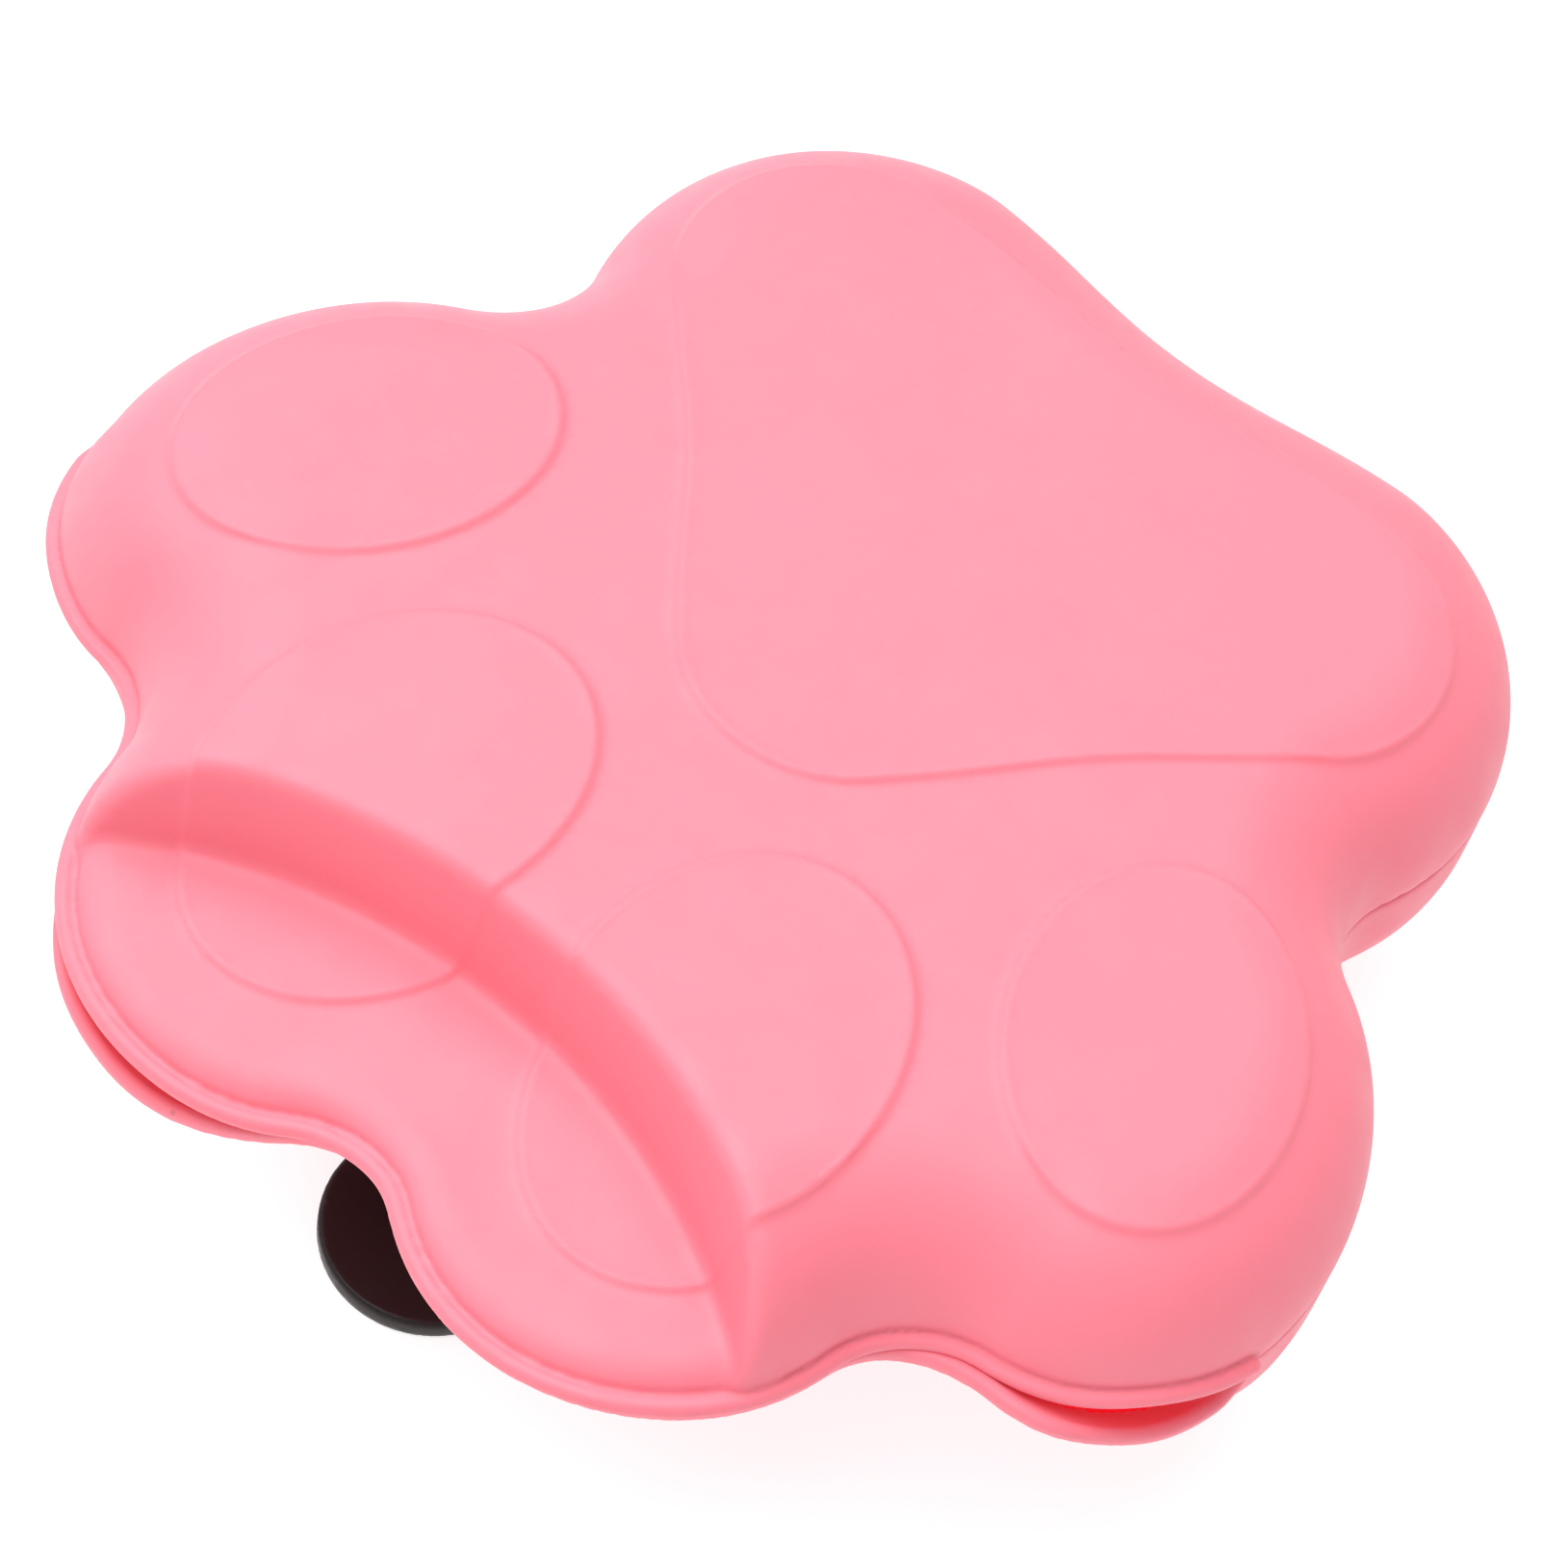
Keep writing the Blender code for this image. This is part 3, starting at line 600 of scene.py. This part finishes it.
def wave_lip(points, waves, near_lip):
    """Moves a lip up or down and in or out at a few places, as soft silicone hangs."""
    x, y, _ = points.T
    inner, outer = WAVE_BAND
    weight = near_lip * smooth_step((PAW(x, y) + inner) / (inner - outer))
    weight = weight * smooth_step((y - MOUTH_LINE_Y) / WAVE_START)
    moved = points.copy()
    for spot_x, spot_y, spread, lift, out in waves:
        share = weight * np.exp(-(np.hypot(x - spot_x, y - spot_y) / spread) ** 2)
        reach = math.hypot(spot_x, spot_y)
        moved += share[:, None] * np.array([spot_x / reach * out, spot_y / reach * out, lift])
    return moved


def shape_back(points):
    height = points[:, 2] - BACK_Z - WAVE_FOOT
    return wave_lip(points, BACK_WAVES, smooth_step(height / (PART_Z - BACK_Z - WAVE_FOOT)))


def shape_front(points):
    below = LIP_Z + WAVE_TOP[0] - points[:, 2]
    return wave_lip(points, FRONT_WAVES, smooth_step(below / WAVE_TOP[1]))


def refine(points, faces, field, wanted, step):
    """Halves the mesh's edges where wanted(points) holds, and puts its points on the surface."""
    mesh = bmesh.new()
    verts = [mesh.verts.new(point) for point in points.tolist()]
    for face in faces:
        mesh.faces.new([verts[i] for i in face])
    mesh.verts.index_update()
    near = wanted(points)
    edges = [e for e in mesh.edges if near[e.verts[0].index] and near[e.verts[1].index]]
    bmesh.ops.subdivide_edges(mesh, edges=edges, cuts=1, use_grid_fill=True)
    bmesh.ops.triangulate(mesh, faces=[face for face in mesh.faces if len(face.verts) > 4])
    mesh.verts.index_update()
    points = np.array([vert.co[:] for vert in mesh.verts])
    faces = [[vert.index for vert in face.verts] for face in mesh.faces]
    mesh.free()
    return settle(field, plan_of, points, step), faces


def front_lines(points):
    """Where the front needs a fine mesh: its pads' rims, the lip bead and the recess's foot."""
    x, y, z = points.T
    beside, above = NEAR_BEAD
    pads = (np.abs(pads_distance(x, y)) < NEAR_PAD) & (z > FLOOR_Z - NEAR_PAD_Z)
    lip = (np.abs(PAW(x, y)) < beside) & (z < LIP_Z + above) & (y > MOUTH_LINE_Y - beside)
    wall = RECESS_R - np.hypot(x, y - RECESS_CENTRE_Y) + RECESS_DRAFT * (z - FLOOR_Z)
    foot = (np.abs(wall) < NEAR_FOOT[0]) & (np.abs(z - FLOOR_Z) < NEAR_FOOT[1])
    outer = front_outside(plan_of(x, y), z) > -WALL / 2.0
    return (pads | lip | foot) & outer


def back_lines(points):
    """Where the back needs a fine mesh: its lip's outer edge."""
    x, y, z = points.T
    return (np.abs(PAW(x, y)) < NEAR_BACK_LIP) & (z > BACK_LIP_Z - NEAR_BACK_LIP)


def front_painted_shade(x, y, z):
    """Whether a point of the front's surface belongs to the hollow, which gets the painted shade
    and glow.
    """
    inner = front_outside(plan_of(x, y), z) < -WALL / 2.0
    return inner & (z > LIP_Z + PAINTED_SHADE_ABOVE)


def back_painted_shade(x, y, z):
    """Whether a point of the back's surface belongs to the hollow, which gets the painted shade
    and glow.
    """
    plan = plan_of(x, y)
    flange = (z > BACK_LIP_Z - FLANGE_DEPTH) & (plan["inset"] > -FLANGE_WIDTH)
    return (back_outside(plan, z, 0.0, BACK_ROUND) < -WALL / 2.0) & ~flange


def silicone_skin(name, field, low_z, high_z, shape, lines, hollow):
    """One silicone half as a closed mesh, its hollow painted a deeper red with a faint glow:
    painted shade and painted light through the wall.
    """
    low = (-SKIN_REACH[0], -SKIN_REACH[1], low_z - SKIN_MARGIN)
    high = (SKIN_REACH[0], SKIN_REACH[1], high_z + SKIN_MARGIN)
    points, faces = surface_net(field, plan_of, low, high, SKIN_STEP)
    points, faces = refine(points, faces, field, lines, SKIN_STEP / 2.0)
    made = mesh_object(name, shape(points), faces, PINK)
    # Second material: painted shade and glow for the faces of the hollow
    made.data.materials.append(HOLLOW_SHADE_AND_GLOW)
    centres = np.array([points[face].mean(axis=0) for face in faces])
    made.data.polygons.foreach_set("material_index", hollow(*centres.T).astype(np.int32))
    return made


# ---------------------------------------------------------------- belt clip fields
PIVOT = centre_of("clip_pivot_pin")[1:]
LEVER_LOW, LEVER_HIGH = [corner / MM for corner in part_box("clip_lever")]
BASE_LOW, BASE_HIGH = [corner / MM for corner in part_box("clip_base")]
JAW_CENTRE = (LEVER_LOW[1] + JAW_R, JAW_R)


def plan_only(x, y):
    return {"x": x, "y": y}


def plate_plan(x, y, low, high, half_width, low_r, high_r):
    """Signed distance to a plate's plan outline with rounded corners of two radii."""
    middle = (low + high) / 2.0
    radius = np.where(y > middle, high_r, low_r)
    u = np.abs(x) - half_width + radius
    v = np.abs(y - middle) - (high - low) / 2.0 + radius
    return rounded_corner(u, v, radius)


def lugs(x, y, z, x_middle, direction):
    """Two lugs round the pivot, widening towards their plate in the direction given."""
    away = (z - PIVOT[1]) * direction
    disc = np.hypot(y - PIVOT[0], z - PIVOT[1]) - EAR_R
    flank = np.abs(y - PIVOT[0]) - EAR_R - EAR_SPREAD * np.maximum(away, 0.0)
    foot = np.maximum(flank, -away)
    side = np.maximum(np.minimum(disc, foot), away - EAR_LENGTH)
    return smooth_max(side, np.abs(np.abs(x) - x_middle) - EAR_T / 2.0, EAR_SOFT)


def bore(y, z):
    """Positive inside the pivot's bore."""
    return PIVOT_BORE_R - np.hypot(y - PIVOT[0], z - PIVOT[1])


def lever_field(plan, z):
    """The lever: a flat bar, curled up to its jaw, with two lugs, a bore and a ribbed tab."""
    x, y = plan["x"], plan["y"]
    half = PLATE_T / 2.0
    bar = np.hypot(np.maximum(JAW_CENTRE[0] - y, 0.0), z - half)
    curl = np.abs(np.hypot(y - JAW_CENTRE[0], z - JAW_CENTRE[1]) - JAW_R + half)
    curl = np.where((y < JAW_CENTRE[0]) & (z < JAW_CENTRE[1]), curl, FAR)
    jaw = np.hypot(y - LEVER_LOW[1] - half, np.minimum(z - JAW_CENTRE[1], 0.0))
    sheet = np.minimum(np.minimum(bar, curl), jaw) - half
    taper = smooth_step((y - PIVOT[0] - TAB_TAPER[0]) / (TAB_TAPER[1] - TAB_TAPER[0]))
    half_width = LEVER_HIGH[0] + (TAB_HALF_W - LEVER_HIGH[0]) * taper
    jaw_end = LEVER_LOW[1] - JAW_CORNER_BELOW
    outline = plate_plan(x, y, jaw_end, LEVER_HIGH[1], half_width, JAW_CORNER_R, TAB_HALF_W)
    body = smooth_max(sheet, np.maximum(outline, z - LEVER_HIGH[2]), EDGE_SOFT)
    body = smooth_min(body, lugs(x, y, z, INNER_EAR_X, -1.0), EAR_BLEND)
    grip = np.where(z > half, rib_wave(y), 0.0)
    return smooth_max(body + grip, bore(y, z), BORE_SOFT)


def rib_wave(y):
    """Shallow grip grooves across the thumb tab, under the pouch's edge."""
    share = (y - PIVOT[0] - GRIP_START) / GRIP_PITCH
    groove = np.maximum(np.cos(share * 2.0 * math.pi) - GRIP_LAND, 0.0) * GRIP_DEPTH
    return np.where((share > 0.0) & (share < GRIP_COUNT), groove, 0.0)


def base_field(plan, z):
    """The base: a plate with two lugs, a bore and four bored posts for the screws."""
    x, y = plan["x"], plan["y"]
    top = BASE_HIGH_PLATE
    outline = plate_plan(x, y, BASE_LOW[1], BASE_HIGH[1], BASE_HIGH[0], *BASE_CORNERS)
    slab = np.maximum(z - top, top - PLATE_T - z)
    body = smooth_max(slab, outline, EDGE_SOFT)
    body = smooth_min(body, lugs(x, y, z, BASE_HIGH[0] - EAR_T / 2.0, 1.0), EAR_BLEND)
    near = nearest(x, y, SCREWS)
    ends = np.maximum(z - BASE_HIGH[2], top - POST_SEAT - z)
    post = smooth_max(near - POST_R, ends, POST_SOFT)
    body = np.minimum(body, post)
    hole = np.where(z > top - SCREW_BORE_BELOW, SCREW_BORE_R - near, -FAR)
    body = np.maximum(body, hole)
    return smooth_max(body, bore(y, z), BORE_SOFT)


def moulded(name, field, node, look):
    """A finer copy of a plastic CAD node, meshed from its field."""
    low, high = [[value / MM for value in corner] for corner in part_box(node)]
    low = [value - CLIP_MARGIN for value in low]
    high = [value + CLIP_MARGIN for value in high]
    points, faces = surface_net(field, plan_only, low, high, CLIP_STEP)
    stand_for(mesh_object(name, points, faces, look), node)


# ---------------------------------------------------------------- turned and wire pieces
def turned(name, profile, axis, look, node, sides=48):
    """A piece turned round an axis through its CAD node's centre.

    The profile holds (position along the axis, radius) pairs and closes at both ends.
    """
    centre = centre_of(node)
    points, faces = [], []
    for along, radius in profile:
        for i in range(sides):
            turn = 2.0 * math.pi * i / sides
            offset = (radius * math.cos(turn), radius * math.sin(turn))
            point = list(centre)
            point[axis] = along
            point[(axis + 1) % 3] += offset[0]
            point[(axis + 2) % 3] += offset[1]
            points.append(point)
    for level in range(len(profile) - 1):
        for i in range(sides):
            j = (i + 1) % sides
            low, high = level * sides, (level + 1) * sides
            faces.append((low + i, low + j, high + j, high + i))
    faces.append(tuple(reversed(range(sides))))
    faces.append(tuple(range((len(profile) - 1) * sides, len(profile) * sides)))
    made = mesh_object(name, np.array(points), faces, look)
    made.data.set_sharp_from_angle(angle=math.radians(35.0))
    stand_for(made, node)
    return made


def disc_profile(low, high, radius, soft, inner=0.5):
    """A flat disc's (height, radius) pairs with softened rims."""
    turns = [math.pi / 2.0 * i / 4 for i in range(5)]
    pairs = [(low, radius * inner)]
    for turn in turns:
        rise, draw = 1.0 - math.cos(turn), 1.0 - math.sin(turn)
        pairs.append((low + soft * rise, radius - soft * draw))
    for turn in turns:
        rise, draw = 1.0 - math.sin(turn), 1.0 - math.cos(turn)
        pairs.append((high - soft * rise, radius - soft * draw))
    return pairs + [(high, radius * inner)]


def span(node, axis):
    """Where a CAD node starts and ends along an axis, in millimetres."""
    low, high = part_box(node)
    return low[axis] / MM, high[axis] / MM


def tube(name, path, radius, look, sides=14):
    """A round wire along a path of points, closed at both ends."""
    path = np.array(path)
    along = np.gradient(path, axis=0)
    along /= np.linalg.norm(along, axis=1)[:, None]
    side = np.cross(along[0], (1.0, 0.0, 0.0))
    points, faces = [], []
    for spot, direction in zip(path, along):
        side = side - direction * side.dot(direction)
        side /= np.linalg.norm(side)
        other = np.cross(direction, side)
        for i in range(sides):
            turn = 2.0 * math.pi * i / sides
            points.append(spot + radius * (math.cos(turn) * side + math.sin(turn) * other))
    for level in range(len(path) - 1):
        for i in range(sides):
            j = (i + 1) % sides
            low, high = level * sides, (level + 1) * sides
            faces.append((low + i, low + j, high + j, high + i))
    faces.append(tuple(reversed(range(sides))))
    faces.append(tuple(range((len(path) - 1) * sides, len(path) * sides)))
    return mesh_object(name, np.array(points), faces, look)


def spring_path():
    """A leg on the lever, five turns round the pin and a leg under the base plate."""
    low_z = PLATE_T + GAP + WIRE_R
    high_z = BASE_HIGH_PLATE - PLATE_T - GAP - WIRE_R
    sweep = math.pi + 2.0 * math.pi * COIL_TURNS
    turns = TURN_STEPS * COIL_TURNS
    coil = []
    for i in range(turns + 1):
        share = i / turns
        turn = -math.pi / 2.0 - sweep * share
        x = COIL_HALF * (2.0 * share - 1.0)
        coil.append((x, PIVOT[0] + COIL_R * math.cos(turn), PIVOT[1] + COIL_R * math.sin(turn)))
    first = leg((-COIL_HALF, PIVOT[0] + SPRING_LEG, low_z), coil[0])
    last = leg((COIL_HALF, PIVOT[0] + SPRING_LEG, high_z), coil[-1])
    return first + coil + last[::-1]


def leg(end, start):
    """Evenly spaced points from end to just before start."""
    end, start = np.array(end), np.array(start)
    return [tuple(end + (start - end) * i / LEG_STEPS) for i in range(LEG_STEPS)]


# ---------------------------------------------------------------- materials
class Graph:
    """Short calls for building one material's nodes."""

    def __init__(self, name, **fixed):
        self.made = bpy.data.materials.new(name)
        self.made.use_nodes = True
        self.nodes = self.made.node_tree.nodes
        self.shader = self.nodes["Principled BSDF"]
        self.place = self.nodes.new("ShaderNodeNewGeometry").outputs["Position"]
        for socket, value in fixed.items():
            self.fix(socket.replace("_", " "), value)

    def add(self, kind, inputs=None, **settings):
        node = self.nodes.new(kind)
        for key, value in settings.items():
            setattr(node, key, value)
        for socket, value in (inputs or {}).items():
            if isinstance(value, bpy.types.NodeSocket):
                self.made.node_tree.links.new(value, node.inputs[socket])
            else:
                node.inputs[socket].default_value = value
        return node

    def noise(self, scale, detail=2.0, stretch=None):
        """Noise whose scale counts its features in one metre."""
        vector = self.stretched(stretch) if stretch else self.place
        inputs = {"Vector": vector, "Scale": scale, "Detail": detail}
        return self.add("ShaderNodeTexNoise", inputs).outputs["Fac"]

    def stretched(self, factors):
        """The place on the piece, multiplied by a factor along each axis."""
        inputs = {0: self.place, 1: factors}
        return self.add("ShaderNodeVectorMath", inputs, operation="MULTIPLY").outputs[0]

    def span(self, value, low, high, from_low=0.3, from_high=0.7):
        """Maps from_low ... from_high to low ... high."""
        inputs = {
            "Value": value,
            "From Min": from_low,
            "From Max": from_high,
            "To Min": low,
            "To Max": high,
        }
        return self.add("ShaderNodeMapRange", inputs).outputs["Result"]

    def maths(self, operation, first, second):
        inputs = {0: first, 1: second}
        return self.add("ShaderNodeMath", inputs, operation=operation).outputs[0]

    def mix(self, share, first, second):
        """The first colour where share is 0, the second where it is 1."""
        node = self.add("ShaderNodeMix", data_type="RGBA")
        for socket, value in ((0, share), (6, first), (7, second)):
            if isinstance(value, bpy.types.NodeSocket):
                self.made.node_tree.links.new(value, node.inputs[socket])
            else:
                node.inputs[socket].default_value = value
        return node.outputs[2]

    def fix(self, socket, value):
        """Sets one of the shader's own values, the same all over."""
        self.shader.inputs[socket].default_value = value

    def drive(self, socket, value):
        """Lets a node's output drive one of the shader's values."""
        self.made.node_tree.links.new(value, self.shader.inputs[socket])

    def bump(self, height, strength, distance):
        inputs = {"Height": height, "Strength": strength, "Distance": distance}
        self.drive("Normal", self.add("ShaderNodeBump", inputs).outputs["Normal"])


DUST_RARE = 0.80                 # share of the cells that hold no speck
DUST_STRENGTH = 0.35
DUST_COLOUR = (0.30, 0.12, 0.13, 1.0)
SCRATCH_STRETCH = (60.0, 900.0, 60.0)
WEAR_STRENGTH = 0.3
DULL_METAL = 0.86


def silicone(name, base, deep, glow=0.0):
    """Matte silicone: faint clouding, moulding grain and a few specks of dust.

    The glow stands for daylight that passes through the wall into the hollow.
    """
    g = Graph(name)
    cloud = g.span(g.noise(scale=38.0, detail=3.0), low=0.0, high=1.0)
    colour = g.mix(cloud, base, deep)
    specks = g.add("ShaderNodeTexVoronoi", {"Vector": g.place, "Scale": 62.0, "Randomness": 1.0})
    tint = g.add("ShaderNodeSeparateColor", {"Color": specks.outputs["Color"]}).outputs["Red"]
    away = specks.outputs["Distance"]
    near = g.span(away, low=1.0, high=0.0, from_low=0.010, from_high=0.018)
    rare = g.maths("GREATER_THAN", tint, DUST_RARE)
    dust = g.maths("MULTIPLY", near, rare)
    dust = g.maths("MULTIPLY", dust, DUST_STRENGTH)
    g.drive("Base Color", g.mix(dust, colour, DUST_COLOUR))
    g.drive("Roughness", g.span(g.noise(scale=240.0, detail=4.0), low=0.46, high=0.60))
    g.bump(g.noise(scale=2400.0), strength=0.08, distance=0.0001)
    g.fix("Subsurface Weight", 0.25)
    g.fix("Subsurface Radius", (1.0, 0.3, 0.25))
    g.fix("Subsurface Scale", 0.0012)
    g.fix("Emission Color", (1.0, 0.015, 0.03, 1.0))
    g.fix("Emission Strength", glow)
    return g.made


def plastic(name, base, worn, rough):
    """Moulded plastic: fine grain, faint scratches and paler edges."""
    g = Graph(name)
    cells = {"Vector": g.stretched(SCRATCH_STRETCH), "Scale": 1.0}
    cracks = g.add("ShaderNodeTexVoronoi", cells, feature="DISTANCE_TO_EDGE")
    away = cracks.outputs["Distance"]
    scratch = g.span(away, low=1.0, high=0.0, from_low=0.0, from_high=0.03)
    patch = g.span(g.noise(scale=90.0), low=0.0, high=1.0, from_low=0.55, from_high=0.70)
    scratch = g.maths("MULTIPLY", scratch, patch)
    point = g.add("ShaderNodeNewGeometry").outputs["Pointiness"]
    edge = g.span(point, low=0.0, high=0.6, from_low=0.52, from_high=0.60)
    wear = g.maths("MAXIMUM", scratch, edge)
    wear = g.maths("MULTIPLY", wear, WEAR_STRENGTH)
    g.drive("Base Color", g.mix(wear, base, worn))
    grain = g.noise(scale=700.0, detail=3.0)
    g.drive("Roughness", g.span(grain, low=rough - 0.05, high=rough + 0.07))
    g.bump(g.noise(scale=1500.0), strength=0.05, distance=0.0001)
    g.fix("Specular IOR Level", 0.25)
    return g.made


def metal(name, base, rough, stretch=None, scale=900.0):
    """Bare or plated metal, with drawn or turned marks."""
    g = Graph(name, Metallic=1.0)
    marks = g.noise(scale, 3.0, stretch)
    dull = tuple(value * DULL_METAL for value in base[:3]) + (1.0,)
    cloud = g.span(g.noise(scale=130.0), low=0.0, high=1.0)
    g.drive("Base Color", g.mix(cloud, base, dull))
    g.drive("Roughness", g.span(marks, low=rough - 0.05, high=rough + 0.10))
    g.bump(marks, strength=0.05, distance=0.00005)
    return g.made


# ---------------------------------------------------------------- pieces
PINK = silicone("pink_silicone", (0.92, 0.210, 0.274, 1.0), (0.93, 0.222, 0.286, 1.0))
# Painted shade and glow: a deeper red and an emission stand in for light passing through the
# silicone into the hollow
HOLLOW_SHADE_AND_GLOW = silicone(
    "hollow_painted_shade_and_glow", (0.86, 0.034, 0.070, 1.0), (0.88, 0.040, 0.080, 1.0), glow=0.22)
COVER_PINK = silicone("cover_silicone", (0.94, 0.190, 0.240, 1.0), (0.96, 0.205, 0.255, 1.0))
BLACK = plastic(
    "black_plastic", (0.012, 0.008, 0.008, 1.0), worn=(0.10, 0.10, 0.10, 1.0), rough=0.34)
INNER_BLACK = plastic(
    "backing_plastic", (0.020, 0.020, 0.022, 1.0), worn=(0.08, 0.08, 0.08, 1.0), rough=0.50)
SPRING_STEEL = metal(
    "spring_steel", (0.55, 0.55, 0.57, 1.0), rough=0.28, stretch=(1.0, 0.2, 0.2))
SCREW_STEEL = metal(
    "screw_steel", (0.62, 0.62, 0.64, 1.0), rough=0.30, stretch=(1.0, 1.0, 0.1))
NICKEL = metal(
    "nickel_plate", (0.70, 0.69, 0.66, 1.0), rough=0.16, stretch=(1.0, 1.0, 4.0), scale=300.0)

BODY_OF = {
    "back_shell": "pouch",
    "clip_lever": "lever",
    "clip_base": "pouch",
    "clip_backing_plate": "pouch",
    "clip_pivot_pin": "pouch",
}
for side in SIDES:
    for half, body in (("front", "flap"), ("back", "pouch")):
        BODY_OF[f"{half}_magnet_{side}"] = body
        BODY_OF[f"{half}_magnet_cover_{side}"] = body
for level in LEVELS:
    for side in SCREW_SIDES:
        BODY_OF[f"clip_screw_{level}_{side}"] = "pouch"


def build_skins():
    """The two silicone halves."""
    front = silicone_skin(
        "front_skin", front_field, PART_Z, TOP_Z, shape_front, front_lines, front_painted_shade)
    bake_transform(front)
    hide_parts("front_shell", "mouth_flap")
    back = silicone_skin(
        "back_skin", back_field, BACK_Z, PART_Z, shape_back, back_lines, back_painted_shade)
    stand_for(back, "back_shell")


def build_magnets():
    for side in SIDES:
        for half in ("front", "back"):
            node = f"{half}_magnet_{side}"
            profile = disc_profile(*span(node, 2), DISC_R, MAGNET_SOFT)
            turned(f"{node}_disc", profile, 2, NICKEL, node)
            node = f"{half}_magnet_cover_{side}"
            profile = disc_profile(*span(node, 2), DISC_R, COVER_SOFT)
            turned(f"{node}_disc", profile, 2, COVER_PINK, node)


def build_clip():
    moulded("lever_moulding", lever_field, "clip_lever", BLACK)
    moulded("base_moulding", base_field, "clip_base", BLACK)
    low, high = span("clip_pivot_pin", 0)
    head = disc_profile(low, low + PIN_HEAD_T, PIN_HEAD_R, PIN_SOFT)[:-1]
    profile = head + [(low + PIN_HEAD_T, PIN_R), (high - PIN_HEAD_T, PIN_R)]
    profile += [(low + high - along, radius) for along, radius in reversed(head)]
    turned("pivot_pin", profile, 0, SPRING_STEEL, "clip_pivot_pin")
    spring = tube("spring_wire", spring_path(), WIRE_R, SPRING_STEEL)
    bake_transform(spring)
    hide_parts("clip_spring")


def screw_profile(low, high):
    """A screw's (height, radius) pairs: blunt point, ringed thread and domed head."""
    head = high - SCREW_HEAD_T
    profile = [(low, 0.5), (low + 0.3, 0.85), (low + 0.6, SCREW_R)]
    z = low + 0.8
    while z < head - SCREW_PITCH:
        profile += [(z, SCREW_R), (z + 0.12, SCREW_ROOT_R)]
        profile += [(z + 0.36, SCREW_ROOT_R), (z + 0.48, SCREW_R)]
        z += SCREW_PITCH
    profile += [(head - 0.05, SCREW_R), (head, 1.1), (head, 2.0), (head + 0.12, SCREW_HEAD_R)]
    for turn in np.linspace(0.15, 1.35, 8):
        radius = SCREW_HEAD_R * math.cos(turn) ** 0.6
        profile.append((head + SCREW_HEAD_T * math.sin(turn), radius))
    return profile


def build_screws():
    for level in LEVELS:
        for side in SCREW_SIDES:
            node = f"clip_screw_{level}_{side}"
            low, high = span(node, 2)
            profile = screw_profile(low, high)
            screw = turned(f"screw_{level}_{side}", profile, 2, SCREW_STEEL, node)
            cut_slot(screw, centre_of(node), high)


def cut_slot(screw, centre, top):
    """Presses a straight driver slot into a screw's head."""
    for vertex in screw.data.vertices:
        _, y, z = vertex.co / MM
        if z > top - SLOT_REACH and abs(y - centre[1]) < SLOT_HALF_W:
            vertex.co.z = (top - SLOT_DEPTH) * MM


def rounded_sheet(node, corner, soft, look):
    """A flat plate with rounded corners and softened rims, in place of its CAD node."""
    low, high = [[value / MM for value in c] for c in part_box(node)]

    def field(plan, z):
        slab = np.maximum(z - high[2], low[2] - z)
        outline = plate_plan(plan["x"], plan["y"], low[1], high[1], high[0], corner, corner)
        hole = SCREW_BORE_R - nearest(plan["x"], plan["y"], SCREWS)
        return np.maximum(smooth_max(slab, outline, soft), hole)

    moulded(f"{node}_sheet", field, node, look)


build_skins()
build_magnets()
build_clip()
build_screws()
rounded_sheet("clip_backing_plate", corner=5.0, soft=0.6, look=INNER_BLACK)


# ---------------------------------------------------------------- stage, light and camera
def floor():
    """A pale floor lit through from below, a tenth of a millimetre under the clip."""
    mesh = bpy.data.meshes.new("floor")
    half, z = 3.0, -0.0001
    corners = [(-half, -half, z), (half, -half, z), (half, half, z), (-half, half, z)]
    mesh.from_pydata(corners, [], [(0, 1, 2, 3)])
    made = bpy.data.objects.new("floor", mesh)
    bpy.context.scene.collection.objects.link(made)
    g = Graph("pale_floor", Roughness=0.9, Emission_Strength=0.75)
    cloud = g.noise(scale=6.0)
    g.drive("Base Color", g.mix(cloud, (0.42, 0.42, 0.42, 1.0), (0.45, 0.45, 0.45, 1.0)))
    g.fix("Emission Color", (1.0, 1.0, 1.0, 1.0))
    mesh.materials.append(g.made)


def area_light(name, place, aim, size, power):
    data = bpy.data.lights.new(name, "AREA")
    data.shape = "DISK"
    data.size = size
    data.energy = power
    made = bpy.data.objects.new(name, data)
    made.location = place
    made.rotation_euler = (Vector(aim) - Vector(place)).to_track_quat("-Z", "Y").to_euler()
    bpy.context.scene.collection.objects.link(made)


def camera():
    """A long lens on the toe side, high above the paw."""
    data = bpy.data.cameras.new("camera")
    data.sensor_width = 36.0
    data.lens = 99.4
    data.clip_start = 0.01
    made = bpy.data.objects.new("camera", data)
    right = Vector((-0.76072, -0.63035, 0.15476))
    up = Vector((0.59281, -0.57763, 0.56117))
    back = Vector((-0.26434, 0.51864, 0.81310))
    place = Vector((-2.3186, 4.3470, 6.7251)) * TOE_SPAN + Vector((0.0, -CENTRE_Y, TOP_Z))
    pose = Matrix((right, up, back)).transposed().to_4x4()
    pose.translation = place * MM
    made.matrix_world = pose
    bpy.context.scene.collection.objects.link(made)
    bpy.context.scene.camera = made


def world(strength):
    made = bpy.data.worlds.new("studio")
    made.use_nodes = True
    background = made.node_tree.nodes["Background"]
    background.inputs["Color"].default_value = (1.0, 1.0, 1.0, 1.0)
    background.inputs["Strength"].default_value = strength
    bpy.context.scene.world = made


bpy.context.scene.view_settings.view_transform = "Standard"
floor()
area_light("key", place=(0.30, 0.03, 0.76), aim=(0.0, 0.0, 0.02), size=1.2, power=10.4)
world(strength=0.54)
camera()
